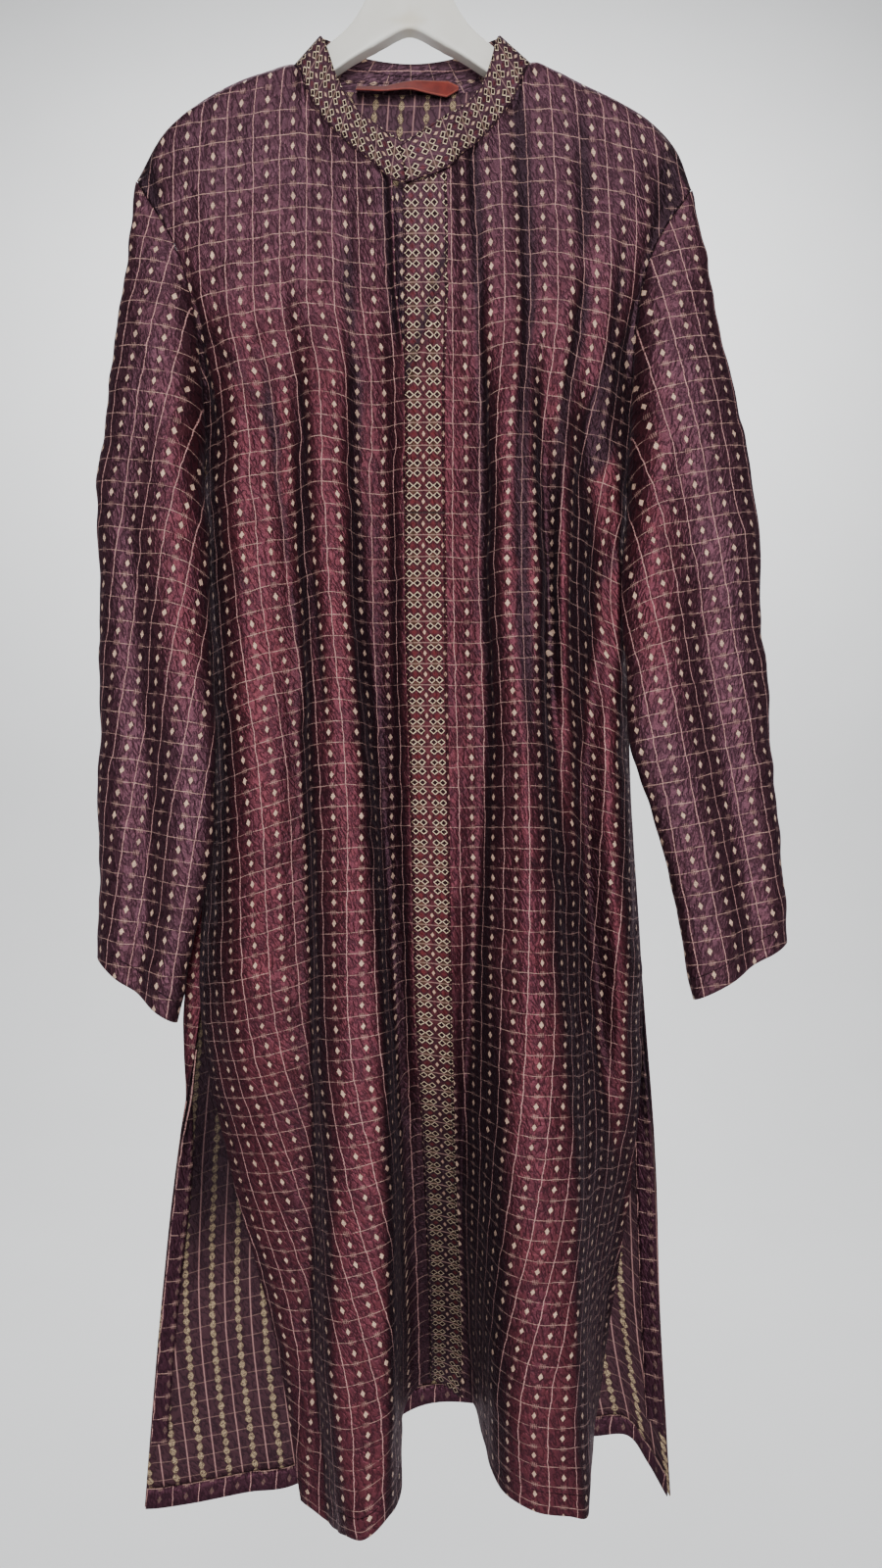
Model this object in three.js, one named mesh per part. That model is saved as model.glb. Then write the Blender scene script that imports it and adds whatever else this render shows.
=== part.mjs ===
// Long kurta on a wooden hanger. Millimetres, +Z up, the garment faces -Y.
// The origin is the inside top of the hanger's hook.
import * as THREE from "three";

const WALL = 1.2; // a cloth wall
const GAP = 0.3; // between two pieces at a seam
const ON_PANEL = WALL + GAP + 0.1; // how far the border's mid-surface lies off the panel's
const BEHIND_PANEL = WALL + GAP + 1; // the underlap's
const INSIDE_BACK = WALL + GAP + 1.8; // the turned edges'
const SHOULDER_ROLL = 8; // how far the cloth bulges off the shoulder line, over the hanger
const ROLL_RISE = 9; // cloth length in which the roll reaches that
const ROLL_FADE = 110; // and in which it dies away
const NECK_BEND = 4; // how far the cloth beside a neck point stands forward
const NECK_FADE = 30;
const HEM_TURN = 16;
const SLIT_TOP = -868;

// The heights of the rows between the top edge and the hem, the same on all panels.
const LEVELS = [-308, -424, -555, -700, SLIT_TOP, -990, -1121];

// One row for each fold line of the front, from the left side edge to the right one:
// name, top [x, z], x at the levels, hem [x, z], y at the top, at the levels and at the hem.
const FRONT_LINES = [
  ["side", [-211, -233], [-172, -159, -163, -157, -163, -139, -101], [-80, -1234],
    [0, -6, 2, 10, 10, 4, -6, -20, -34]],
  ["side turn", [-190, -196], [-161, -149, -145, -138, -149, -127, -93], [-73, -1236],
    [0, -12, -14, -22, -26, -16, -16, -28, -40]],
  ["outer", [-162, -172], [-141, -130, -126, -119, -125, -107, -83], [-65, -1240],
    [0, -16, -28, -38, -42, -36, -28, -34, -44]],
  ["middle", [-135, -157], [-120, -110, -106, -99, -96, -87, -76], [-59, -1241],
    [0, -15, -26, -36, -42, -40, -34, -36, -48]],
  ["flank foot", [-113, -149], [-99, -91, -84, -79, -73, -70, -68], [-53, -1239],
    [0, -16, -24, -32, -36, -38, -38, -42, -58]],
  ["flank head", [-88, -143], [-84, -79, -72, -67, -62, -57, -54], [-44, -1227],
    [0, -17, -32, -46, -56, -64, -76, -86, -84]],
  ["lobe crest", [-78, -167], [-71, -68, -59, -48, -42, -39, -34], [-29, -1223],
    [-10, -18, -38, -52, -66, -78, -88, -96, -96]],
  ["lobe edge", [-65, -192], [-54, -49, -43, -31, -19, -13, -10], [-13, -1211],
    [-15, -19, -34, -48, -60, -74, -84, -92, -90]],
  ["lobe back", [-46, -214], [-38, -35, -30, -22, -11, -6, -7], [-5, -1208],
    [-21, -20, -24, -30, -36, -50, -44, -36, -62]],
  ["valley", [-26, -233], [-22, -19, -15, -11, -3, 0, 0], [-5, -1180],
    [-28, -24, -25, -31, -38, -48, -36, -12, -12]],
  ["centre", [-3, -252], [-2, -1, -1, 3, 7, 13, 17], [17, -1164],
    [-34, -34, -36, -42, -50, -56, -36, -6, 6]],
  ["border edge", [28, -241], [29, 27, 28, 30, 32, 35, 40], [40, -1179],
    [-34, -33, -36, -42, -50, -54, -30, 2, 8]],
  ["valley R", [39, -227], [42, 52, 51, 53, 46, 42, 48], [50, -1184],
    [-28, -28, -30, -36, -44, -46, -30, -6, 4]],
  ["flank R", [49, -217], [55, 61, 62, 63, 58, 53, 55], [57, -1189],
    [-23, -28, -40, -50, -54, -62, -52, -40, -45]],
  ["crest start", [63, -199], [66, 69, 71, 74, 73, 68, 64], [67, -1199],
    [-16, -28, -46, -58, -64, -76, -82, -80, -76]],
  ["crest R", [79, -175], [79, 82, 85, 86, 89, 89, 87], [89, -1205],
    [-10, -28, -48, -60, -70, -82, -92, -98, -92]],
  ["crest edge", [93, -142], [95, 91, 95, 99, 108, 117, 116], [113, -1210],
    [0, -24, -44, -56, -60, -76, -84, -92, -90]],
  ["notch", [112, -147], [109, 101, 103, 110, 120, 128, 128], [127, -1217],
    [0, -24, -34, -44, -42, -58, -66, -70, -80]],
  ["minor crest", [132, -157], [125, 116, 115, 121, 132, 140, 135], [132, -1213],
    [0, -24, -38, -56, -36, -36, -46, -45, -55]],
  ["flank 2", [159, -170], [139, 133, 140, 133, 143, 151, 142], [136, -1214],
    [0, -20, -26, -24, -26, -22, -30, -25, -30]],
  ["outer R", [185, -186], [153, 150, 152, 149, 158, 160, 148], [139, -1210],
    [0, -20, -26, -18, -36, -32, -18, -10, -12]],
  ["turn R", [206, -209], [167, 161, 161, 162, 170, 167, 152], [141, -1209],
    [0, -14, -18, -16, -24, -22, -9, -2, 0]],
  ["side R", [218, -240], [181, 171, 170, 171, 180, 173, 155], [143, -1207],
    [0, -6, 0, 6, 2, 0, -3, 4, 7]],
];

// The back's lines, in the same columns.
const BACK_LINES = [
  ["side", [-211, -233], [-172, -159, -163, -157, -163, -181, -195], [-207, -1264],
    [0, 2, 5, 12, 12, 6, 4, 4, 6]],
  ["side turn", [-190, -196], [-158, -150, -158, -154, -176, -171, -183], [-194, -1265],
    [0, 10, 16, 20, 20, 12, 10, 9, 9]],
  ["outer", [-162, -172], [-136, -126, -130, -130, -148, -148, -156], [-166, -1263],
    [0, 12, 24, 30, 30, 24, 20, 16, 13]],
  ["valley 1", [-125, -153], [-108, -100, -102, -102, -116, -116, -122], [-128, -1257],
    [0, 9, 12, 14, 14, 12, 14, 15, 16]],
  ["neck left", [-88, -143], [-78, -72, -74, -74, -82, -84, -88], [-90, -1252],
    [0, 15, 28, 34, 34, 30, 24, 20, 18]],
  ["valley 2", [-57, -153], [-46, -40, -42, -42, -46, -48, -50], [-40, -1222],
    [15, 14, 15, 17, 17, 16, 17, 18, 21]],
  ["centre", [1, -156], [-8, -6, -8, -8, -8, -8, -6], [10, -1192],
    [17, 22, 30, 36, 36, 32, 28, 24, 22]],
  ["valley 3", [55, -153], [36, 32, 34, 34, 32, 34, 40], [62, -1191],
    [15, 14, 15, 17, 17, 16, 17, 18, 20]],
  ["neck right", [93, -142], [76, 68, 72, 72, 72, 74, 82], [104, -1207],
    [0, 15, 28, 34, 34, 30, 24, 22, 20]],
  ["valley 4", [132, -157], [112, 102, 106, 106, 110, 112, 120], [140, -1215],
    [0, 9, 12, 14, 14, 12, 14, 17, 20]],
  ["outer R", [175, -180], [142, 132, 136, 138, 148, 150, 156], [172, -1213],
    [0, 12, 24, 30, 28, 24, 20, 18, 17]],
  ["turn R", [206, -209], [164, 158, 162, 166, 176, 178, 182], [189, -1232],
    [0, 10, 14, 18, 16, 14, 10, 8, 10]],
  ["side R", [218, -240], [181, 171, 170, 171, 182, 191, 195], [202, -1252],
    [0, 2, 4, 9, 5, 3, 3, 2, 0]],
];

// One row for each ring of a sleeve: outer edge [x, z, y], inner edge [x, z, y], how far the front and the
// back of the tube stand off the line between them, and the fold down its front: where (0 outer, 1 inner), how deep.
const SLEEVE_LEFT = [
  { ring: "armhole", outer: [-211, -233, 0], inner: [-163, -447, 8], front: 10, back: 8, fold: [0.45, 0] },
  { ring: "cap", outer: [-216, -284, -3], inner: [-160, -466, -4], front: 18, back: 12, fold: [0.45, 0] },
  { ring: "upper arm", outer: [-224, -346, -4], inner: [-153, -506, -15], front: 22, back: 14, fold: [0.4, 3] },
  { ring: "above elbow", outer: [-233, -410, -4], inner: [-153, -544, -20], front: 24, back: 14, fold: [0.38, 6] },
  { ring: "elbow", outer: [-240, -458, -3], inner: [-151, -581, -22], front: 24, back: 14, fold: [0.36, 8] },
  { ring: "below elbow", outer: [-239, -519, -3], inner: [-148, -626, -26], front: 24, back: 14, fold: [0.38, 10] },
  { ring: "forearm", outer: [-239, -594, -3], inner: [-145, -678, -30], front: 22, back: 14, fold: [0.4, 12] },
  { ring: "mid forearm", outer: [-239, -677, -2], inner: [-147, -737, -30], front: 22, back: 14, fold: [0.46, 14] },
  { ring: "wrist", outer: [-240, -761, -1], inner: [-158, -804, -28], front: 22, back: 14, fold: [0.52, 14] },
  { ring: "cuff", outer: [-240.5, -833, 0], inner: [-175, -879, -26], front: 22, back: 14, fold: [0.55, 13] },
];
const SLEEVE_RIGHT = [
  { ring: "armhole", outer: [218, -240, 0], inner: [175, -447, 6], front: 10, back: 8, fold: [0.5, 0] },
  { ring: "cap", outer: [226, -284, -3], inner: [173, -474, -4], front: 18, back: 12, fold: [0.5, 0] },
  { ring: "upper arm", outer: [238, -346, -4], inner: [166, -513, -16], front: 22, back: 14, fold: [0.5, 3] },
  { ring: "above elbow", outer: [250, -399, -4], inner: [162, -552, -22], front: 24, back: 14, fold: [0.5, 6] },
  { ring: "elbow", outer: [262, -451, -4], inner: [162, -589, -24], front: 24, back: 14, fold: [0.48, 9] },
  { ring: "below elbow", outer: [269, -519, -4], inner: [164, -626, -27], front: 24, back: 14, fold: [0.46, 12] },
  { ring: "forearm", outer: [273, -595, -4], inner: [169, -678, -30], front: 22, back: 14, fold: [0.44, 13] },
  { ring: "mid forearm", outer: [279, -677, -4], inner: [185, -730, -29], front: 22, back: 14, fold: [0.42, 13] },
  { ring: "wrist", outer: [286, -753, -3], inner: [200, -784, -27], front: 22, back: 14, fold: [0.4, 12] },
  { ring: "cuff", outer: [291.5, -821, -2], inner: [214, -862, -26], front: 22, back: 14, fold: [0.4, 12] },
];

// The collar's stations round the neck, from its covered end at the front to its upper end: the panel and the
// line it is sewn to, how far its foot stands off the panel's edge in y, and its top edge [x, y, z].
const COLLAR_STATIONS = [
  { at: "covered end", on: "front", u: 10.25, shift: 1.4, top: [7, -32, -222] },
  { at: "front left", on: "front", u: 9.6, shift: 1.2, top: [-9, -31, -216] },
  { at: "left 1", on: "front", u: 9, shift: 0.6, top: [-24, -27, -204] },
  { at: "left 2", on: "front", u: 8, shift: 0, top: [-41, -21, -186.5] },
  { at: "left 3", on: "front", u: 7, shift: 0, top: [-54, -15.5, -163] },
  { at: "left 4", on: "front", u: 6, shift: 0, top: [-62, -12, -139] },
  { at: "left 5", on: "front", u: 5.5, shift: -1.2, top: [-66.5, -8.5, -127] },
  { at: "neck point left", on: "front", u: 5, shift: 0.6, top: [-69, 0, -121] },
  { at: "back left", on: "back", u: 4.5, shift: 0, top: [-61, 11, -118] },
  { at: "back 1", on: "back", u: 5, shift: 0, top: [-38, 16, -127] },
  { at: "back centre", on: "back", u: 6, shift: 0, top: [1, 18, -131] },
  { at: "back 2", on: "back", u: 7, shift: 0, top: [38, 16, -127] },
  { at: "back right", on: "back", u: 7.5, shift: 0, top: [62, 11, -118] },
  { at: "neck point right", on: "front", u: 16, shift: 0.6, top: [70, 0, -121] },
  { at: "right 1", on: "front", u: 15.5, shift: -0.4, top: [67, -9, -128] },
  { at: "right 2", on: "front", u: 15, shift: 0, top: [62, -14, -149] },
  { at: "right 3", on: "front", u: 14, shift: 0, top: [54, -18.5, -171] },
  { at: "right 4", on: "front", u: 13, shift: 0, top: [40, -24.5, -189] },
  { at: "right 5", on: "front", u: 12, shift: -0.6, top: [30, -29, -197] },
  { at: "right 6", on: "front", u: 11, shift: -1.4, top: [16, -32.5, -208] },
  { at: "upper end", on: "front", u: 10.05, shift: -2.6, top: [-6, -36, -224] },
];

// The hanger's wood along x: x, top, bottom, half the thickness. The left side mirrors the right one.
const HANGER_SECTIONS = [
  { x: 0, top: -57.7, bottom: -118, half: 7 },
  { x: 20, top: -63, bottom: -127, half: 7 },
  { x: 27, top: -72, bottom: -131, half: 6.8 },
  { x: 34, top: -95, bottom: -134.5, half: 6.5 },
  { x: 45, top: -113, bottom: -141, half: 6 },
  { x: 60, top: -127, bottom: -151, half: 5.6 },
  { x: 88, top: -148.5, bottom: -168, half: 5 },
  { x: 110, top: -153.5, bottom: -173, half: 5 },
  { x: 130, top: -160.5, bottom: -180, half: 5 },
  { x: 150, top: -171, bottom: -190, half: 5 },
  { x: 168, top: -183, bottom: -201, half: 4.6 },
  { x: 180, top: -193, bottom: -209, half: 4 },
  { x: 186, top: -201, bottom: -210, half: 2.5 },
];

// The hook's wire: its line [x, z] from the wood up, and the radius there.
const HOOK_RADIUS = 20.2;
const HOOK_CENTRE_Z = -18;
const WIRE = 2.2;

const v3 = (x, y, z) => new THREE.Vector3(x, y, z);
const clamp = (x, a, b) => Math.min(b, Math.max(a, x));
const smooth = (a, b, x) => {
  const t = clamp((x - a) / (b - a), 0, 1);
  return t * t * (3 - 2 * t);
};

// 1 at x = 0, falling to nothing either side over about twice the width.
const fading = (x, width) => Math.exp(-((x / width) ** 2));

// A Catmull-Rom spline through a list of vectors, t in its steps.
function along(points, t) {
  const last = points.length - 1;
  const i = clamp(Math.floor(t), 0, last - 1);
  const s = t - i;
  const p1 = points[i];
  const p2 = points[i + 1];
  const p0 = i > 0 ? points[i - 1] : p1.clone().multiplyScalar(2).sub(p2);
  const p3 = i + 2 <= last ? points[i + 2] : p2.clone().multiplyScalar(2).sub(p1);
  const out = v3(0, 0, 0);
  out.addScaledVector(p0, -0.5 * s + s * s - 0.5 * s * s * s);
  out.addScaledVector(p1, 1 - 2.5 * s * s + 1.5 * s * s * s);
  out.addScaledVector(p2, 0.5 * s + 2 * s * s - 1.5 * s * s * s);
  out.addScaledVector(p3, -0.5 * s * s + 0.5 * s * s * s);
  return out;
}

// A panel from its lines: u counts lines, v counts rows. neck holds the two columns of the neck points.
function panel(lines, face, neck) {
  const columns = lines.map(([, top, xs, hem, ys]) => [
    v3(top[0], ys[0], top[1]),
    ...xs.map((x, i) => v3(x, ys[i + 1], LEVELS[i])),
    v3(hem[0], ys[8], hem[1]),
  ]);
  return (u, v) => {
    const p = along(columns.map((c) => along(c, v)), u);
    const drop = along(columns.map((c) => c[0]), u).distanceTo(p);
    const neckward = clamp(Math.min(u - neck[0], neck[1] - u), -1, 1);
    const onShoulder = 1 - smooth(0, 1, neckward);
    const round = Math.sin((clamp(drop / ROLL_RISE, 0, 1) * Math.PI) / 2) * fading(drop, ROLL_FADE);
    const besideNeck = neckward > 0 && neckward < 1;
    const corner = besideNeck ? Math.sin(neckward * Math.PI) * fading(drop, NECK_FADE) : 0;
    p.y += face * (SHOULDER_ROLL * round * onShoulder + NECK_BEND * corner);
    return p;
  };
}
const FRONT_NECK = [5, 16];
const BACK_NECK = [4, 8];
const front = panel(FRONT_LINES, -1, FRONT_NECK);
const back = panel(BACK_LINES, 1, BACK_NECK);
const CENTRE = 10;
const FRONT_LAST = FRONT_LINES.length - 1;
const BACK_LAST = BACK_LINES.length - 1;

// Where the placket gapes: how wide in lines, and the rows in which it opens and closes. It is a seam elsewhere.
const GAPES = [
  { wide: 0.36, opens: [-1, 0], closes: [1.1, 1.9] },
  { wide: 0.12, opens: [2.15, 2.3], closes: [2.45, 2.6] },
];
const SEAM = 0.045;

// How far, in lines, the left front's edge stands off the centre line.
function openingWidth(v) {
  const open = GAPES.map(({ wide, opens, closes }) => wide * smooth(...opens, v) * (1 - smooth(...closes, v)));
  return Math.max(SEAM, ...open);
}

// The normals of a grid of points, facing the side that face says.
function normalsOf(grid, ring, face) {
  const rows = grid.length;
  const columns = grid[0].length;
  return grid.map((row, i) =>
    row.map((_, j) => {
      const down = grid[Math.min(i + 1, rows - 1)][j].clone().sub(grid[Math.max(i - 1, 0)][j]);
      const next = ring ? row[(j + 1) % columns] : row[Math.min(j + 1, columns - 1)];
      const before = ring ? row[(j + columns - 1) % columns] : row[Math.max(j - 1, 0)];
      return next.clone().sub(before).cross(down).normalize().multiplyScalar(face);
    }),
  );
}

// A closed wall round a grid of points; ring joins its last column to its first.
function wall(grid, { ring = false, face = 1, lift = 0, thick = WALL } = {}) {
  const normals = normalsOf(grid, ring, face);
  const rows = grid.length;
  const columns = grid[0].length;
  const xyz = [];
  for (const off of [lift + thick / 2, lift - thick / 2])
    grid.forEach((row, i) => row.forEach((p, j) => {
      const q = p.clone().addScaledVector(normals[i][j], off);
      xyz.push(q.x, q.y, q.z);
    }));
  const at = (side, i, j) => side * rows * columns + i * columns + (j % columns);
  const faces = [];
  const quad = (a, b, c, d) => faces.push(a, b, c, a, c, d);
  const spans = ring ? columns : columns - 1;
  for (let i = 0; i < rows - 1; i++)
    for (let j = 0; j < spans; j++) {
      quad(at(0, i, j), at(0, i, j + 1), at(0, i + 1, j + 1), at(0, i + 1, j));
      quad(at(1, i, j), at(1, i + 1, j), at(1, i + 1, j + 1), at(1, i, j + 1));
    }
  for (let j = 0; j < spans; j++) {
    quad(at(0, 0, j + 1), at(0, 0, j), at(1, 0, j), at(1, 0, j + 1));
    quad(at(0, rows - 1, j), at(0, rows - 1, j + 1), at(1, rows - 1, j + 1), at(1, rows - 1, j));
  }
  if (!ring)
    for (let i = 0; i < rows - 1; i++) {
      quad(at(0, i, 0), at(0, i + 1, 0), at(1, i + 1, 0), at(1, i, 0));
      quad(at(0, i + 1, columns - 1), at(0, i, columns - 1), at(1, i, columns - 1), at(1, i + 1, columns - 1));
    }
  return solid(xyz, faces);
}

// A geometry facing out, whichever way its faces were listed.
function solid(xyz, faces) {
  let volume = 0;
  const p = (k) => v3(xyz[3 * k], xyz[3 * k + 1], xyz[3 * k + 2]);
  for (let k = 0; k < faces.length; k += 3)
    volume += p(faces[k]).dot(p(faces[k + 1]).cross(p(faces[k + 2])));
  const listed = [];
  for (let k = 0; k < faces.length; k += 3)
    listed.push(faces[k], ...(volume < 0 ? [faces[k + 2], faces[k + 1]] : [faces[k + 1], faces[k + 2]]));
  const geometry = new THREE.BufferGeometry();
  geometry.setAttribute("position", new THREE.Float32BufferAttribute(xyz, 3));
  geometry.setIndex(listed);
  geometry.computeVertexNormals();
  return geometry;
}

const steps = (from, to, count) => Array.from({ length: count + 1 }, (_, i) => from + ((to - from) * i) / count);
const ROWS = [0, 0.03, 0.07, 0.13, 0.25, 0.5, 0.75, ...steps(1, 8, 19)];

// A grid of a surface at (u, v): columns share 0..1 of the row, uRange gives a row's two ends.
const gridOf = (surface, rows, shares, uRange) =>
  rows.map((v) => {
    const [a, b] = uRange(v);
    return shares.map((s) => surface(a + (b - a) * s, v));
  });

// An armhole edge at a height, with the way off the panel there, found by halving the rows it may lie in.
const ARMHOLE_ROWS = [0, 3.2];
const HALVINGS = 40;
function armholeEdge(surface, u, inward, z) {
  let [low, high] = ARMHOLE_ROWS;
  for (let k = 0; k < HALVINGS; k++) {
    const mid = (low + high) / 2;
    if (surface(u, mid).z > z) low = mid;
    else high = mid;
  }
  const p = surface(u, (low + high) / 2);
  return { p, off: p.clone().sub(surface(u + inward * 0.1, (low + high) / 2)).normalize() };
}

// A sleeve from its rings; its first ring follows the armhole edges of the front and the back.
const AROUND = 24;
const SLEEVE_STEPS = 27;
const FOLD_SPREAD = 0.17; // of the sleeve's width
const HEAD_FADE = 2.2; // rings, over which the sleeve head turns from the armhole's line into the tube
const HEAD_OFF = { along: 0.5, aside: 1.8, bend: 0.5, drop: 1.2 }; // how far it stands off the armhole's edges
function sleeve(rings, side) {
  const rowsOf = (key) => rings.map((r) => v3(r[key][0], r[key][2], r[key][1]));
  const outer = rowsOf("outer");
  const inner = rowsOf("inner");
  const shape = rings.map((r) => v3(r.front, r.back, 0));
  const folds = rings.map((r) => v3(r.fold[0], r.fold[1], 0));
  const plain = (t, phi) => {
    const s = (1 - Math.cos(phi)) / 2;
    const p = along(outer, t).lerp(along(inner, t), s);
    const { x: depth, y: behind } = along(shape, t);
    const { x: where, y: deep } = along(folds, t);
    p.y += Math.sin(phi) > 0 ? -depth * Math.sin(phi) : -behind * Math.sin(phi);
    if (Math.sin(phi) > 0) p.y += deep * fading(s - where, FOLD_SPREAD);
    return p;
  };
  const underarm = rings[0].inner[1];
  const shoulder = rings[0].outer[1];
  const first = Array.from({ length: AROUND }, (_, k) => {
    const phi = (2 * Math.PI * k) / AROUND;
    const s = (1 - Math.cos(phi)) / 2;
    const z = shoulder + (underarm - shoulder) * s;
    const onFront = Math.sin(phi) >= 0;
    const u = side < 0 ? 0 : onFront ? FRONT_LAST : BACK_LAST;
    const { p, off } = armholeEdge(onFront ? front : back, u, -side, z);
    const bend = Math.abs(Math.cos(phi)) ** 6;
    p.addScaledVector(off, HEAD_OFF.along);
    p.x += side * (HEAD_OFF.aside + HEAD_OFF.bend * bend);
    if (s > 0.5) p.z -= HEAD_OFF.drop * bend;
    return p;
  });
  return steps(0, rings.length - 1, SLEEVE_STEPS).map((t) =>
    first.map((start, k) => {
      const phi = (2 * Math.PI * k) / AROUND;
      const fade = 1 - smooth(0, HEAD_FADE, t);
      return plain(t, phi).addScaledVector(start.clone().sub(plain(0, phi)), fade);
    }),
  );
}

const group = new THREE.Group();
group.name = "kurta_on_hanger";
function add(name, geometry, color, roughness, metalness = 0) {
  const mesh = new THREE.Mesh(geometry, new THREE.MeshStandardMaterial({ color, roughness, metalness }));
  mesh.name = name;
  group.add(mesh);
}
const MAROON = "#5a2530";
const CREAM = "#b8a07c";
const INSIDE = "#6e3a3c";
const RIBBON = "#9c3f24";
const PAINT = "#dedbd0";
const STEEL = "#c9cbcd";

const addCloth = (name, grid, color, options) => add(name, wall(grid, options), color, 0.65);

// Fronts, meeting at the centre line, the border on the right one and the underlap behind the placket.
const LEFT_SHARES = steps(0, 1, 22);
const RIGHT_SHARES = steps(0, 1, 24);
const ON_BORDER = () => [CENTRE, CENTRE + 1];
addCloth("front_left", gridOf(front, ROWS, LEFT_SHARES, (v) => [0, CENTRE - openingWidth(v)]), MAROON, { face: -1 });
addCloth("front_right", gridOf(front, ROWS, RIGHT_SHARES, () => [CENTRE, FRONT_LAST]), MAROON, { face: -1 });
const borderGrid = gridOf(front, ROWS.slice(1), [-0.05, 0, 0.5, 1], ON_BORDER);
addCloth("front_border", borderGrid, CREAM, { face: -1, lift: ON_PANEL });
const UNDERLAP_ROWS = ROWS.filter((v) => v > 0.05 && v < 2.9);
const underlapGrid = gridOf(front, UNDERLAP_ROWS, [-0.6, -0.3, 0, 0.3], ON_BORDER);
addCloth("placket_underlap", underlapGrid, MAROON, { face: -1, lift: -BEHIND_PANEL });

// Back, its edges just behind the fronts', and its turned edges inside.
const BACK_OFF = 1.5; // at the side seams
const BACK_OFF_SHOULDER = 2.4;
const backSet = (u, v) => {
  const p = back(u, v);
  const seam = 1 - smooth(4.9, 5.6, v);
  const edge = Math.max(0, 1 - Math.min(u, BACK_LAST - u) / 0.6);
  const offNeck = 1 - smooth(-0.2, 0.5, Math.min(u - BACK_NECK[0], BACK_NECK[1] - u));
  p.y += Math.max(BACK_OFF * seam * edge, BACK_OFF_SHOULDER * fading(v, 0.08) * offNeck);
  return p;
};
addCloth("back", gridOf(backSet, ROWS, RIGHT_SHARES, () => [0, BACK_LAST]), INSIDE, { face: -1 });
const TURNED = { face: -1, lift: INSIDE_BACK };
const hemGrid = [1, 0.5, 0.02].map((share) =>
  steps(0.04, BACK_LAST - 0.04, 24).map((u) => {
    const length = backSet(u, 7).distanceTo(backSet(u, 8));
    return backSet(u, 8 - (share * HEM_TURN) / length);
  }),
);
addCloth("back_hem_turn", hemGrid, MAROON, TURNED);
const TURN_ROWS = ROWS.filter((v) => v > 5.2 && v < 7.7);
const turnLeft = gridOf(backSet, TURN_ROWS, [0.05, 0.5, 1], () => [0, 1]);
const turnRight = gridOf(backSet, TURN_ROWS, [0, 0.5, 0.95], () => [BACK_LAST - 1, BACK_LAST]);
addCloth("back_slit_turn_left", turnLeft, MAROON, TURNED);
addCloth("back_slit_turn_right", turnRight, MAROON, TURNED);

addCloth("sleeve_left", sleeve(SLEEVE_LEFT, -1), MAROON, { ring: true });
addCloth("sleeve_right", sleeve(SLEEVE_RIGHT, 1), MAROON, { ring: true });

// Collar band and the ribbon inside the back neck.
const COLLAR_UP = 2; // its foot's distance from the panels' edge
const topLine = COLLAR_STATIONS.map(({ top }) => v3(...top));
const seamLine = COLLAR_STATIONS.map(({ on, u, shift }, i) => {
  const edge = (on === "front" ? front : backSet)(u, 0);
  const way = topLine[i].clone().sub(edge).normalize();
  return edge.addScaledVector(way, COLLAR_UP).add(v3(0, shift, 0));
});
const collarGrid = [0, 0.33, 0.67, 1].map((h) =>
  steps(0, COLLAR_STATIONS.length - 1, 38).map((t) => along(seamLine, t).lerp(along(topLine, t), h)),
);
addCloth("collar", collarGrid, CREAM, { thick: 1.5 });
const LABEL = { from: -42, to: 38, top: -149, wide: 14, y: 13.6 };
const labelGrid = [0, 0.5, 1].map((h) =>
  steps(LABEL.from, LABEL.to, 6).map((x) => {
    const end = (x - 1) / 42; // 1 at the ends, which the collar's curve brings forward
    return v3(x, LABEL.y - 1.2 * end ** 2 - h, LABEL.top - LABEL.wide * h - end ** 2);
  }),
);
addCloth("neck_label", labelGrid, RIBBON, { thick: 0.8 });

// Hanger: a loft along x, and one swept wire with a ferrule on the wood.
const sections = [...HANGER_SECTIONS.slice(1).reverse().map((s) => ({ ...s, x: -s.x })), ...HANGER_SECTIONS];
const SECTION_POINTS = 16;
const CORNER = 0.6; // 1 is an ellipse, 0 a square-cornered board
const woodRings = sections.map(({ x, top, bottom, half }) =>
  Array.from({ length: SECTION_POINTS }, (_, k) => {
    const a = (2 * Math.PI * k) / SECTION_POINTS;
    const squared = (w) => Math.sign(w) * Math.abs(w) ** CORNER;
    const z = (top + bottom) / 2 + ((top - bottom) / 2) * squared(Math.sin(a));
    return v3(x, half * squared(Math.cos(a)), z);
  }),
);
function loft(rings) {
  const n = rings[0].length;
  const xyz = rings.flat().flatMap((p) => [p.x, p.y, p.z]);
  const faces = [];
  for (let i = 0; i < rings.length - 1; i++)
    for (let j = 0; j < n; j++) {
      const a = i * n + j;
      const b = i * n + ((j + 1) % n);
      faces.push(a, b, b + n, a, b + n, a + n);
    }
  for (let j = 1; j < n - 1; j++) {
    faces.push(0, j + 1, j);
    const base = (rings.length - 1) * n;
    faces.push(base, base + j, base + j + 1);
  }
  return solid(xyz, faces);
}
add("hanger_wood", loft(woodRings), PAINT, 0.45);

const WIRE_SIDES = 10;
const HOOK_ARC = [-50, 205]; // degrees, from where the wire leaves the neck of the hook to its tip
const arc = steps(...HOOK_ARC, 22).map((deg) => {
  const a = (deg * Math.PI) / 180;
  return [HOOK_RADIUS * Math.cos(a), HOOK_CENTRE_Z + HOOK_RADIUS * Math.sin(a), WIRE];
});
const hookLine = [
  [0, -57.4, 5], [0, -54.6, 5], [0, -54.2, WIRE], [0, -47, WIRE], [1.5, -43.5, WIRE], [5.5, -38.5, WIRE],
  ...arc,
];
const hookRings = hookLine.map(([x, z, r], i) => {
  const a = hookLine[Math.max(i - 1, 0)];
  const b = hookLine[Math.min(i + 1, hookLine.length - 1)];
  const way = new THREE.Vector2(b[0] - a[0], b[1] - a[1]).normalize();
  return Array.from({ length: WIRE_SIDES }, (_, k) => {
    const t = (2 * Math.PI * k) / WIRE_SIDES;
    return v3(x - way.y * r * Math.cos(t), r * Math.sin(t), z + way.x * r * Math.cos(t));
  });
});
add("hanger_hook", loft(hookRings), STEEL, 0.3, 1);

export default group;
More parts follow.
